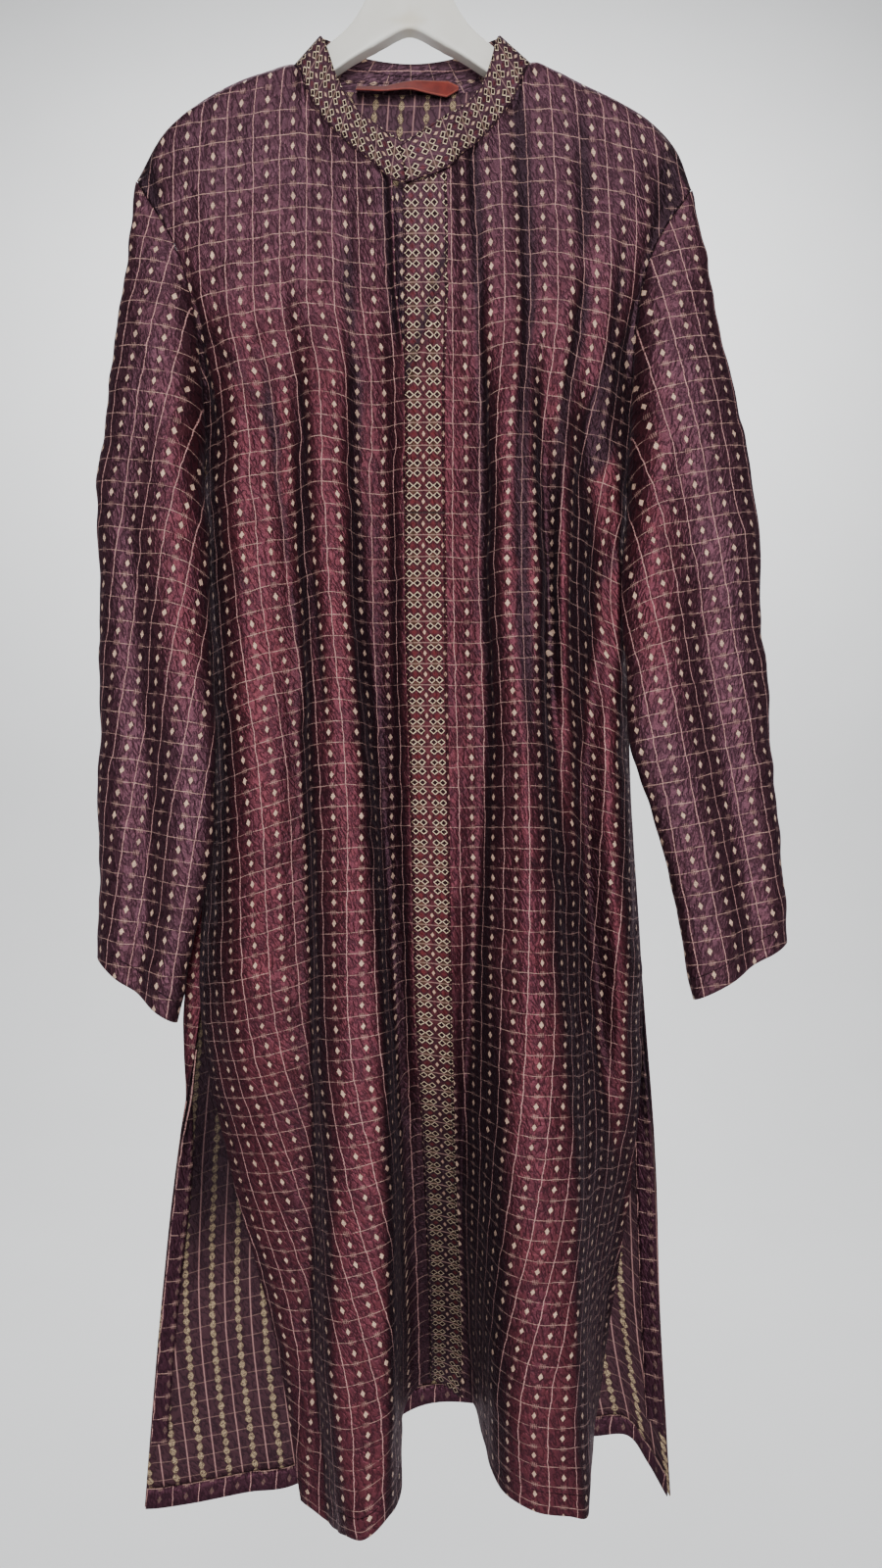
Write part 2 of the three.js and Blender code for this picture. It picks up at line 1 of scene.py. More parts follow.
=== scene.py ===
"""Long silk kurta on a white wooden hanger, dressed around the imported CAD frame.

Lengths in the tables are millimetres, as in the CAD: +Z up, the garment faces -Y and the origin is the
inside top of the hanger's hook. build_mesh() turns them into Blender's metres.
"""

import functools
import itertools
import math

import bpy
import numpy as np
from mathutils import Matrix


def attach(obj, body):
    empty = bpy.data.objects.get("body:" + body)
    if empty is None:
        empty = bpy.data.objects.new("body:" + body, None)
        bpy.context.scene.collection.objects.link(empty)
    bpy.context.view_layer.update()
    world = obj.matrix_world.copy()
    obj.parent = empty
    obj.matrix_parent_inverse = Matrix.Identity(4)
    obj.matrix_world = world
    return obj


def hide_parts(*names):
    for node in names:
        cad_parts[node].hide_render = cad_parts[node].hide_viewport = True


MM = 0.001
WALL = 1.2
COLLAR_WALL = 1.5
RIBBON_WALL = 0.8
# How far the middles of border, underlap and turned edges lie off their panel.
BORDER_OFF = 1.7
UNDERLAP_OFF = 2.6
TURNED_OFF = 3.3
# The cloth bulges over the hanger: how far, and the lengths in which this rises and dies away. Beside a
# neck point it stands forward, and this fades out too.
SHOULDER_ROLL = 8
ROLL_RISE = 9
ROLL_FADE = 110
NECK_BEND = 4
NECK_FADE = 30
HEM_TURN = 16
SLIT_TOP = -868
PLACKET_END = -501
# How far the collar laps over the neck edge of the panels, and stands off them.
COLLAR_LAP = 1.0
COLLAR_OFF = 1.2
# Rows run from 0 at a panel's top edge over these heights to the last at its hem.
LEVELS = (-308, -424, -555, -700, SLIT_TOP, -990, -1121)
YOKE_ROW = 1
SLIT_ROW = 5
LAST_ROW = 8
CENTRE = 10
# The row at the foot of the shoulder roll, and the points down to it.
ROLL_ROWS = (0.12, 9)
# Points down for each level, or in all, and points across.
FRONT_ROWS = 38
FRONT_COLUMNS = {-1: 118, 1: 128}
BORDER_COLUMNS = 20
UNDERLAP_SHAPE = (24, 12)
BACK_SHAPE = (36, 122)
HEM_TURN_COLUMNS = 120
SLIT_TURN_SHAPE = (30, 8)
SLEEVE_SHAPE = (230, 104)
COLLAR_SHAPE = (13, 240)
RIBBON_SHAPE = (10, 90)

# The border's first row, the rows of underlap and slit turns, and how many lines off the centre they lie.
BORDER_TOP = 0.03
BORDER_LINES = (-0.05, 1)
UNDERLAP_ROWS = (0.06, 2.85)
UNDERLAP_LINES = (-0.6, 0.3)
SLIT_TURN_ROWS = (5.3, 7.65)
# The back stands behind the fronts at the side seams, above these rows and this many lines wide, and at the
# shoulder seams, this many rows deep, but for these lines beside the neck.
BEHIND_SIDE = 1.5
SEAM_ENDS = (4.9, 5.6)
SEAM_LINES = 0.6
BEHIND_SHOULDER = 2.4
SHOULDER_ROWS = 0.08
NECK_LINES = (-0.2, 0.5)
# The neck opening: widths in lines, and the rows in which the V closes and a slot opens and closes.
OPEN_V = (0.36, 1.1, 1.9)
OPEN_SLOT = (0.12, 2.15, 2.3, 2.45, 2.6)
OPEN_LEAST = 0.045

# The weave: the check's cell, and where it starts.
CELL_WIDE = 20.4
CELL_HIGH = 18.0
GROUP_WIDE = 14.4
WARP_PHASE = {-1: 9.1, 1: 6.4}
WEFT_PHASE = -8.4
# Distance below the yoke row, and how far apart the wefts lie there.
WEFT_SPACING = [(-220, 20.4), (0, 18.8), (150, 17.5), (300, 15.8), (500, 14.8), (1000, 14.2)]
# Row, and how far the wefts sag there towards the side edge and towards the centre.
WEFT_SAG = [
    (0, 12, 12), (1, 12, 11), (2, 16, 6), (3, 20, 2), (4, 26, 0), (5, 26, 0), (6.5, 10, 0), (8, 0, 0),
]
# Cloth length from the yoke row to the hem, and the row below which the wefts draw level with it.
HEM_LENGTH = 915
LEVEL_ROW = 3.5
# Line, and how far it lies from the highest line: -1 at a side edge, 1 at the centre.
FRONT_OFF_PEAK = [(0, -1), (5.3, 0), (CENTRE, 1), (16, 0), (22, -1)]
BACK_OFF_PEAK = [(0, -1), (4.2, 0), (6, 0.3), (7.8, 0), (12, -1)]
# The sleeves' wefts: how far apart, how far they sag, where across and how far down. Their warps: how far
# they lean out for each millimetre down, and where the first lies off the outer edge.
SLEEVE_WEFT = 17.2
SLEEVE_SAG = 12
SAG_ACROSS = (0.55, 1)
SAG_DOWN = (60, 260)
SLEEVE_LEAN = {-1: 0.15, 1: 0.19}
SLEEVE_PHASE = {-1: -3.6, 1: -8.6}

# Painted shade: the shot silk's colour darkens where it turns away, by these shares of a right angle.
# Painted grey sheen: it looks greyer at this height.
TURNED = (0.05, 0.42)
HIGH = (-460, -200)
# Painted shade too where the folds beside it shut off this share of what lies ahead, or a crease presses it
# in by this much. The folds are sampled at this many points, never closer than this.
SHUT_IN = (0.14, 0.6)
PRESSED = (0.4, 2.2)
FENCE_POINTS = 160
FENCE_NEAR = 2
# The sleeves get weaker painted shade and more painted grey sheen, but for a painted lit band at this
# height, this share across and so wide.
SLEEVE_SHADE = 0.27
SLEEVE_GREY = 0.85
LIT_BAND = (-700, -560)
LIT_ACROSS = 0.74
LIT_WIDE = 0.2
# The wrong side is in shade this far above the hem, this far each way and fading out over this much.
SHUT_UP = (350, 150, 60)

# The camera stands where the photograph's stood.
CAMERA_PLACE = (0.0243, -0.89, -0.70)
LENS_MM = 26.35
SENSOR_MM = 36

# Fold lines from left to right: top (x, z), x at the levels, hem (x, z), and y at the top, at the levels and
# at the hem.
FRONT_LINES = [
    # 0, the left side edge.
    ((-211, -233), (-172, -159, -163, -157, -163, -139, -101), (-80, -1234),
     (0, -6, 2, 10, 10, 4, -6, -20, -34)),
    ((-190, -196), (-161, -149, -145, -138, -149, -127, -93), (-73, -1236),
     (0, -12, -14, -22, -26, -16, -16, -28, -40)),
    ((-162, -172), (-141, -130, -126, -119, -125, -107, -83), (-65, -1240),
     (0, -16, -28, -38, -42, -36, -28, -34, -44)),
    ((-135, -157), (-120, -110, -106, -99, -96, -87, -76), (-59, -1241),
     (0, -15, -26, -36, -42, -40, -34, -36, -48)),
    ((-113, -149), (-99, -91, -84, -79, -73, -70, -68), (-53, -1239),
     (0, -16, -24, -32, -36, -38, -38, -42, -58)),
    # 5, the left neck point.
    ((-88, -143), (-84, -79, -72, -67, -62, -57, -54), (-44, -1227),
     (0, -17, -32, -46, -56, -64, -76, -86, -84)),
    ((-78, -167), (-71, -68, -59, -48, -42, -39, -34), (-29, -1223),
     (-10, -18, -38, -52, -66, -78, -88, -96, -96)),
    ((-65, -192), (-54, -49, -43, -31, -19, -13, -10), (-13, -1211),
     (-15, -19, -34, -48, -60, -74, -84, -92, -90)),
    ((-46, -214), (-38, -35, -30, -22, -11, -6, -7), (-5, -1208),
     (-21, -20, -24, -30, -36, -50, -44, -36, -62)),
    ((-26, -233), (-22, -19, -15, -11, -3, 0, 0), (-5, -1180),
     (-28, -24, -25, -31, -38, -48, -36, -12, -12)),
    # 10, the centre.
    ((-3, -252), (-2, -1, -1, 3, 7, 13, 17), (17, -1164),
     (-34, -34, -36, -42, -50, -56, -36, -6, 6)),
    # 11, the border's right edge.
    ((28, -241), (29, 27, 28, 30, 32, 35, 40), (40, -1179),
     (-34, -33, -36, -42, -50, -54, -30, 2, 8)),
    ((39, -227), (42, 52, 51, 53, 46, 42, 48), (50, -1184),
     (-28, -28, -30, -36, -44, -46, -30, -6, 4)),
    ((49, -217), (55, 61, 62, 63, 58, 53, 55), (57, -1189),
     (-23, -28, -40, -50, -54, -62, -52, -40, -45)),
    ((63, -199), (66, 69, 71, 74, 73, 68, 64), (67, -1199),
     (-16, -28, -46, -58, -64, -76, -82, -80, -76)),
    ((79, -175), (79, 82, 85, 86, 89, 89, 87), (89, -1205),
     (-10, -28, -48, -60, -70, -82, -92, -98, -92)),
    # 16, the right neck point.
    ((93, -142), (95, 91, 95, 99, 108, 117, 116), (113, -1210),
     (0, -24, -44, -56, -60, -76, -84, -92, -90)),
    ((112, -147), (109, 101, 103, 110, 120, 128, 128), (127, -1217),
     (0, -24, -34, -44, -42, -58, -66, -70, -80)),
    ((132, -157), (125, 116, 115, 121, 132, 140, 135), (132, -1213),
     (0, -24, -38, -56, -36, -36, -46, -45, -55)),
    ((159, -170), (139, 133, 140, 133, 143, 151, 142), (136, -1214),
     (0, -20, -26, -24, -26, -22, -30, -25, -30)),
    ((185, -186), (153, 150, 152, 149, 158, 160, 148), (139, -1210),
     (0, -20, -26, -18, -36, -32, -18, -10, -12)),
    ((206, -209), (167, 161, 161, 162, 170, 167, 152), (141, -1209),
     (0, -14, -18, -16, -24, -22, -9, -2, 0)),
    # 22, the right side edge.
    ((218, -240), (181, 171, 170, 171, 180, 173, 155), (143, -1207),
     (0, -6, 0, 6, 2, 0, -3, 4, 7)),
]
BACK_LINES = [
    # 0, the left side edge.
    ((-211, -233), (-172, -159, -163, -157, -163, -181, -195), (-207, -1264),
     (0, 2, 5, 12, 12, 6, 4, 4, 6)),
    ((-190, -196), (-158, -150, -158, -154, -176, -171, -183), (-194, -1265),
     (0, 10, 16, 20, 20, 12, 10, 9, 9)),
    ((-162, -172), (-136, -126, -130, -130, -148, -148, -156), (-166, -1263),
     (0, 12, 24, 30, 30, 24, 20, 16, 13)),
    ((-125, -153), (-108, -100, -102, -102, -116, -116, -122), (-128, -1257),
     (0, 9, 12, 14, 14, 12, 14, 15, 16)),
    # 4, the left neck point.
    ((-88, -143), (-78, -72, -74, -74, -82, -84, -88), (-90, -1252),
     (0, 15, 28, 34, 34, 30, 24, 20, 18)),
    ((-57, -153), (-46, -40, -42, -42, -46, -48, -50), (-40, -1222),
     (15, 14, 15, 17, 17, 16, 17, 18, 21)),
    ((1, -156), (-8, -6, -8, -8, -8, -8, -6), (10, -1192),
     (17, 22, 30, 36, 36, 32, 28, 24, 22)),
    ((55, -153), (36, 32, 34, 34, 32, 34, 40), (62, -1191),
     (15, 14, 15, 17, 17, 16, 17, 18, 20)),
    # 8, the right neck point.
    ((93, -142), (76, 68, 72, 72, 72, 74, 82), (104, -1207),
     (0, 15, 28, 34, 34, 30, 24, 22, 20)),
    ((132, -157), (112, 102, 106, 106, 110, 112, 120), (140, -1215),
     (0, 9, 12, 14, 14, 12, 14, 17, 20)),
    ((175, -180), (142, 132, 136, 138, 148, 150, 156), (172, -1213),
     (0, 12, 24, 30, 28, 24, 20, 18, 17)),
    ((206, -209), (164, 158, 162, 166, 176, 178, 182), (189, -1232),
     (0, 10, 14, 18, 16, 14, 10, 8, 10)),
    # 12, the right side edge.
    ((218, -240), (181, 171, 170, 171, 182, 191, 195), (202, -1252),
     (0, 2, 4, 9, 5, 3, 3, 2, 0)),
]
FRONT_NECK = (5, 16)
BACK_NECK = (4, 8)
FRONT_LAST = len(FRONT_LINES) - 1
BACK_LAST = len(BACK_LINES) - 1

# Sleeve rings from armhole to cuff: outer edge (x, z, y), inner edge (x, z, y), depth in front and behind,
# and the fold down the front: where across it (0 outer, 1 inner) and how deep.
SLEEVE_LEFT = [
    ((-211, -233, 0), (-163, -447, 8), 10, 8, (0.45, 0)),
    ((-216, -284, -3), (-160, -466, -4), 18, 12, (0.45, 0)),
    ((-224, -346, -4), (-153, -506, -15), 22, 14, (0.4, 3)),
    ((-233, -410, -4), (-153, -544, -20), 24, 14, (0.38, 6)),
    ((-240, -458, -3), (-151, -581, -22), 24, 14, (0.36, 8)),
    ((-239, -519, -3), (-148, -626, -26), 24, 14, (0.38, 10)),
    ((-239, -594, -3), (-145, -678, -30), 22, 14, (0.4, 12)),
    ((-239, -677, -2), (-147, -737, -30), 22, 14, (0.46, 14)),
    ((-240, -761, -1), (-158, -804, -28), 22, 14, (0.52, 14)),
    ((-240.5, -833, 0), (-175, -879, -26), 22, 14, (0.55, 13)),
]
SLEEVE_RIGHT = [
    ((218, -240, 0), (175, -447, 6), 10, 8, (0.5, 0)),
    ((226, -284, -3), (170.5, -474, -4), 18, 12, (0.5, 0)),
    ((238, -346, -4), (164.5, -513, -16), 22, 14, (0.5, 3)),
    ((250, -399, -4), (162, -552, -22), 24, 14, (0.5, 6)),
    ((262, -451, -4), (162, -589, -24), 24, 14, (0.48, 9)),
    ((269, -519, -4), (164, -626, -27), 24, 14, (0.46, 12)),
    ((273, -595, -4), (169, -678, -30), 22, 14, (0.44, 13)),
    ((279, -677, -4), (185, -730, -29), 22, 14, (0.42, 13)),
    ((286, -753, -3), (200, -784, -27), 22, 14, (0.4, 12)),
    ((291.5, -821, -2), (214, -862, -26), 22, 14, (0.4, 12)),
]

# Collar stations from the covered end round the neck to the upper end: the panel it is sewn to (-1 the
# front, 1 the back), line, shift in y, and top edge (x, y, z).
COLLAR_STATIONS = [
    (-1, 10.25, 1.4, (7, -32, -222)), (-1, 9.6, 1.2, (-9, -31, -216)), (-1, 9, 0.6, (-24, -27, -204)),
    (-1, 8, 0, (-41, -21, -186.5)), (-1, 7, 0, (-54, -15.5, -163)), (-1, 6, 0, (-62, -12, -139)),
    (-1, 5.5, -1.2, (-66.5, -8.5, -127)), (-1, 5, 0.6, (-69, 0, -121)), (1, 4.5, 0, (-61, 11, -118)),
    (1, 5, 0, (-38, 16, -127)), (1, 6, 0, (1, 18, -131)), (1, 7, 0, (38, 16, -127)),
    (1, 7.5, 0, (62, 11, -118)), (-1, 16, 0.6, (70, 0, -121)), (-1, 15.5, -0.4, (67, -9, -128)),
    (-1, 15, 0, (62, -14, -149)), (-1, 14, 0, (54, -18.5, -171)), (-1, 13, 0, (40, -24.5, -189)),
    (-1, 12, -0.6, (30, -29, -197)), (-1, 11, -1.4, (16, -32.5, -208)), (-1, 10.05, -2.6, (-6, -36, -224)),
]

# The hanger's wood along x: x, top, bottom, half the thickness; the other side mirrors it.
HANGER_SECTIONS = [
    (0, -57.7, -118, 7), (20, -63, -127, 7), (27, -72, -131, 6.8), (34, -95, -134.5, 6.5),
    (45, -113, -141, 6), (60, -127, -151, 5.6), (88, -148.5, -168, 5), (110, -153.5, -173, 5),
    (130, -160.5, -180, 5), (150, -171, -190, 5), (168, -183, -201, 4.6), (180, -193, -209, 4),
    (186, -201, -210, 2.5),
]
BOARD_CORNER = 0.22
HOOK_RADIUS = 20.2
HOOK_CENTRE_Z = -18
WIRE = 2.2
HOOK_ARC = (-50, 205)
HOOK_FOOT = [
    (0, -57.4, 5), (0, -54.6, 5), (0, -54.2, WIRE), (0, -47, WIRE), (1.5, -43.5, WIRE), (5.5, -38.5, WIRE),
]
WOOD_SHAPE = (130, 48)
WIRE_SHAPE = (60, 20)

# The ribbon: x and its top edge, x and how many degrees it tips forward, x and its width, how far back it
# lies, and how far its ends bow forward.
LABEL_ENDS = (-42, 38)
LABEL_TOP = [(-42, -151.5), (-20, -151), (-6, -147.5), (4, -146), (30, -147), (38, -151)]
LABEL_TIP = [(-42, 50), (-20, 47), (0, 36), (20, 16), (38, 0)]
LABEL_WIDE = [(-42, 14), (29, 14), (38, 3.5)]
LABEL_BACK = 13.6
LABEL_BOW = 1.2


def smooth(a, b, x):
    t = np.clip((np.asarray(x, float) - a) / (b - a), 0, 1)
    return t * t * (3 - 2 * t)


def spline(points, t):
    """Catmull-Rom through points, at steps t."""
    points = np.asarray(points, float)
    ends = 2 * points[[0, -1]] - points[[1, -2]]
    padded = np.concatenate([ends[:1], points, ends[1:]])
    t = np.asarray(t, float)
    i = np.clip(np.floor(t).astype(int), 0, len(points) - 2)
    s = (t - i).reshape((-1,) + (1,) * (points.ndim - 1))
    p0, p1, p2, p3 = (padded[i + k] for k in range(4))
    return (
        p0 * (-0.5 * s + s**2 - 0.5 * s**3)
        + p1 * (1 - 2.5 * s**2 + 1.5 * s**3)
        + p2 * (0.5 * s + 2 * s**2 - 1.5 * s**3)
        + p3 * (-0.5 * s**2 + 0.5 * s**3)
    )


def columns_of(lines):
    """The control points of a panel's lines: line, row, (x, y, z)."""
    out = []
    for top, xs, hem, ys in lines:
        xz = [top, *zip(xs, LEVELS), hem]
        out.append([(x, y, z) for (x, z), y in zip(xz, ys)])
    return np.array(out, float)


def panel(lines, face, neck, u, v):
    """Points of a panel at rows v, each row with its own lines u."""
    columns = columns_of(lines)
    rows = spline(columns.transpose(1, 0, 2), v)
    points = np.stack([spline(row, us) for row, us in zip(rows, u)])
    tops = np.stack([spline(columns[:, 0], us) for us in u])
    drop = np.linalg.norm(points - tops, axis=2)
    neckward = np.clip(np.minimum(u - neck[0], neck[1] - u), -1, 1)
    on_shoulder = 1 - smooth(0, 1, neckward)
    rise = np.sin(np.clip(drop / ROLL_RISE, 0, 1) * math.pi / 2)
    rolled = rise * np.exp(-((drop / ROLL_FADE) ** 2))
    bent = np.sin(neckward * math.pi) * np.exp(-((drop / NECK_FADE) ** 2))
    corner = np.where((neckward > 0) & (neckward < 1), bent, 0)
    points[..., 1] += face * (SHOULDER_ROLL * rolled * on_shoulder + NECK_BEND * corner)
    return points


def front(u, v):
    return panel(FRONT_LINES, -1, FRONT_NECK, u, v)


def back(u, v):
    """The back, its edges just behind the fronts' at the seams."""
    points = panel(BACK_LINES, 1, BACK_NECK, u, v)
    rows = v[:, None]
    seam = 1 - smooth(*SEAM_ENDS, rows)
    edge = np.maximum(0, 1 - np.minimum(u, BACK_LAST - u) / SEAM_LINES)
    off_neck = 1 - smooth(*NECK_LINES, np.minimum(u - BACK_NECK[0], BACK_NECK[1] - u))
    shoulder = np.exp(-((rows / SHOULDER_ROWS) ** 2)) * off_neck
    points[..., 1] += np.maximum(BEHIND_SIDE * seam * edge, BEHIND_SHOULDER * shoulder)
    return points


def point_on(surface, u, v):
    return surface(np.array([[float(u)]]), np.array([float(v)]))[0, 0]


def opening_width(v):
    """How far, in lines, the left front's edge stands off the centre line."""
    wide, top, foot = OPEN_V
    slot, *ends = OPEN_SLOT
    v_part = wide * (1 - smooth(top, foot, v))
    slot_part = slot * smooth(*ends[:2], v) * (1 - smooth(*ends[2:], v))
    return np.maximum(np.maximum(v_part, slot_part), OPEN_LEAST)


def rows_of(start, end, per_level):
    """Row values, closer together at the shoulder roll."""
    foot, points = ROLL_ROWS
    near_top = np.linspace(0, foot, points)[:-1]
    rest = np.linspace(foot, LAST_ROW, LAST_ROW * per_level)
    v = np.concatenate([near_top, rest])
    inside = v[(v > start) & (v < end)]
    return np.concatenate([[start], inside, [end]])


def lines_of(start, end, columns, v):
    """The same lines, evenly spaced, on every row."""
    return np.broadcast_to(np.linspace(start, end, columns), (len(v), columns))


def normals_of(grid, ring=False):
    down = np.gradient(grid, axis=0)
    if ring:
        across = np.roll(grid, -1, axis=1) - np.roll(grid, 1, axis=1)
    else:
        across = np.gradient(grid, axis=1)
    n = np.cross(across, down)
    return n / np.maximum(np.linalg.norm(n, axis=2, keepdims=True), 1e-9)


def layer(across, down):
    return np.stack([across, down], axis=2)


def steps_between(grid, axis):
    """Arc length along an axis of a grid, from 0 at its start."""
    lengths = np.linalg.norm(np.diff(grid, axis=axis), axis=2)
    pad = [(0, 0), (0, 0)]
    pad[axis] = (1, 0)
    return np.pad(np.cumsum(lengths, axis=axis), pad)


def level_steps(grid):
    """Arc length across a grid as the loom's threads count it, without its rows' rise and fall."""
    return steps_between(grid * np.array([1, 1, 0]), 1)


def to_edge(lengths, axis):
    """Distance to the nearer end along an axis."""
    return np.minimum(lengths, lengths.take([-1], axis) - lengths)


def between(table, x):
    """The second column of a table at x, which is in its first."""
    points, values = np.array(table, float).T
    return np.interp(x, points, values)


def calm(*edges):
    """0 on each edge and 1 beyond it. Each edge is a distance and a reach."""
    out = 1.0
    for distance, reach in edges:
        out = out * smooth(0, reach, distance)
    return out


def ripple(x, y, seed, count, lengths, lean, height):
    """A soft random relief: waves that run within lean radians of the y direction."""
    draw = np.random.default_rng(seed)
    out = np.zeros_like(x)
    for _ in range(count):
        wave = draw.uniform(*lengths)
        angle = draw.uniform(-lean, lean)
        phase = draw.uniform(0, 2 * math.pi)
        out += np.sin(2 * math.pi * (x * math.sin(angle) + y * math.cos(angle)) / wave + phase)
    return height * out / math.sqrt(count)


def creases(x, y, table):
    """The sum of the listed creases: from x, y to x, y, half width and height."""
    out = np.zeros_like(x)
    for xa, ya, xb, yb, width, height in table:
        length = math.hypot(xb - xa, yb - ya)
        ax, ay = (xb - xa) / length, (yb - ya) / length
        along = (x - xa) * ax + (y - ya) * ay
        aside = (x - xa) * -ay + (y - ya) * ax
        over = np.maximum(0, np.maximum(-along, along - length))
        fade = np.exp(-((over / (0.25 * length)) ** 2))
        out += height * np.exp(-((aside / width) ** 2)) * fade
    return out


def painted_light_layer(grid, ring=False):
    """How far the form turns away and how high it hangs, 0 to 1, for painted shade and painted sheen."""
    turned = 1 - abs(normals_of(grid, ring)[..., 1])
    return layer(smooth(*TURNED, turned), smooth(*HIGH, grid[..., 2]))


def shut_in(surface, last, u, v):
    """What share of the half circle ahead of each point the folds beside it shut off."""
    fences = surface(lines_of(0, last, FENCE_POINTS, v), v)
    share = []
    for row, fence in zip(surface(u, v), fences):
        aside = fence[None, :, 0] - row[:, None, 0]
        ahead = np.maximum(row[:, None, 1] - fence[None, :, 1], 0)
        rise = np.arctan2(ahead, abs(aside) + FENCE_NEAR)
        left = np.where(aside < 0, rise, 0).max(axis=1)
        right = np.where(aside > 0, rise, 0).max(axis=1)
        share.append((left + right) / math.pi)
    return np.array(share)


def front_painted_light(grid, u, v, pressed):
    """The form layer on the front, for painted shade: turned, shut in by folds, or pressed in by creases."""
    form = painted_light_layer(grid)
    shut = smooth(*SHUT_IN, shut_in(front, FRONT_LAST, u, v))
    form[..., 0] = np.maximum(np.maximum(form[..., 0], shut), smooth(*PRESSED, pressed))
    return form


def add_object(name, data):
    obj = bpy.data.objects.new(name, data)
    bpy.context.collection.objects.link(obj)
    return obj


def plain_mesh(name, verts, faces, *materials):
    mesh = bpy.data.meshes.new(name)
    mesh.from_pydata(verts, [], faces)
    for material in materials:
        mesh.materials.append(material)
    mesh.polygons.foreach_set("use_smooth", np.ones(len(faces), bool))
    return add_object(name, mesh)


def build_mesh(name, grid, uv, edge, materials, form=None, ring=False, lift=0.0, thick=WALL, outward=-1):
    """A closed thin wall round a grid of points. Its outer face takes the first material."""
    if form is None:
        form = painted_light_layer(grid, ring)
    if ring:
        form = np.concatenate([form, form[:, :1]], axis=1)
    rows, columns = grid.shape[:2]
    normals = outward * normals_of(grid, ring)
    outer = grid + normals * (lift + thick / 2)
    inner = grid + normals * (lift - thick / 2)
    verts = np.concatenate([outer.reshape(-1, 3), inner.reshape(-1, 3)]) * MM
    spans = columns if ring else columns - 1

    def corners(*each):
        """Quads from the rows, the columns and the sides of their four corners."""
        spread = np.broadcast_arrays(*itertools.chain(*each))
        return np.stack([a.ravel() for a in spread]).reshape(3, 4, -1).transpose(0, 2, 1)

    i0, j0 = np.mgrid[0 : rows - 1, 0:spans]
    j_all, i_all = np.arange(spans), np.arange(rows - 1)
    quads = [
        corners((i0, i0, i0 + 1, i0 + 1), (j0, j0 + 1, j0 + 1, j0), (0, 0, 0, 0)),
        corners((i0, i0 + 1, i0 + 1, i0), (j0, j0, j0 + 1, j0 + 1), (1, 1, 1, 1)),
        corners((0, 0, 0, 0), (j_all + 1, j_all, j_all, j_all + 1), (0, 0, 1, 1)),
        corners((rows - 1,) * 4, (j_all, j_all + 1, j_all + 1, j_all), (0, 0, 1, 1)),
    ]
    if not ring:
        last = columns - 1
        quads.append(corners((i_all, i_all + 1, i_all + 1, i_all), (0, 0, 0, 0), (0, 0, 1, 1)))
        quads.append(corners((i_all + 1, i_all, i_all, i_all + 1), (last,) * 4, (0, 0, 1, 1)))
    ri, cj, side = np.concatenate(quads, axis=1)
    index = side * rows * columns + ri * columns + cj % columns
    first = verts[index[0]]
    way = np.cross(first[1] - first[0], first[3] - first[0])
    if np.dot(way, normals[0, 0]) < 0:
        index, ri, cj, side = (a[:, ::-1] for a in (index, ri, cj, side))

    obj = plain_mesh(name, verts.tolist(), index.tolist(), *materials)
    mesh = obj.data
    # The form layer holds the shares of painted shade and painted grey sheen.
    for title, values in (("cloth", uv), ("edge", edge), ("form", form)):
        table = mesh.uv_layers.new(name=title)
        table.data.foreach_set("uv", values[ri, cj].ravel())
    inside = (side.min(axis=1) == 1).astype(np.int32) * (len(materials) - 1)
    mesh.polygons.foreach_set("material_index", inside)
    mesh.validate()
    return obj


# Materials.


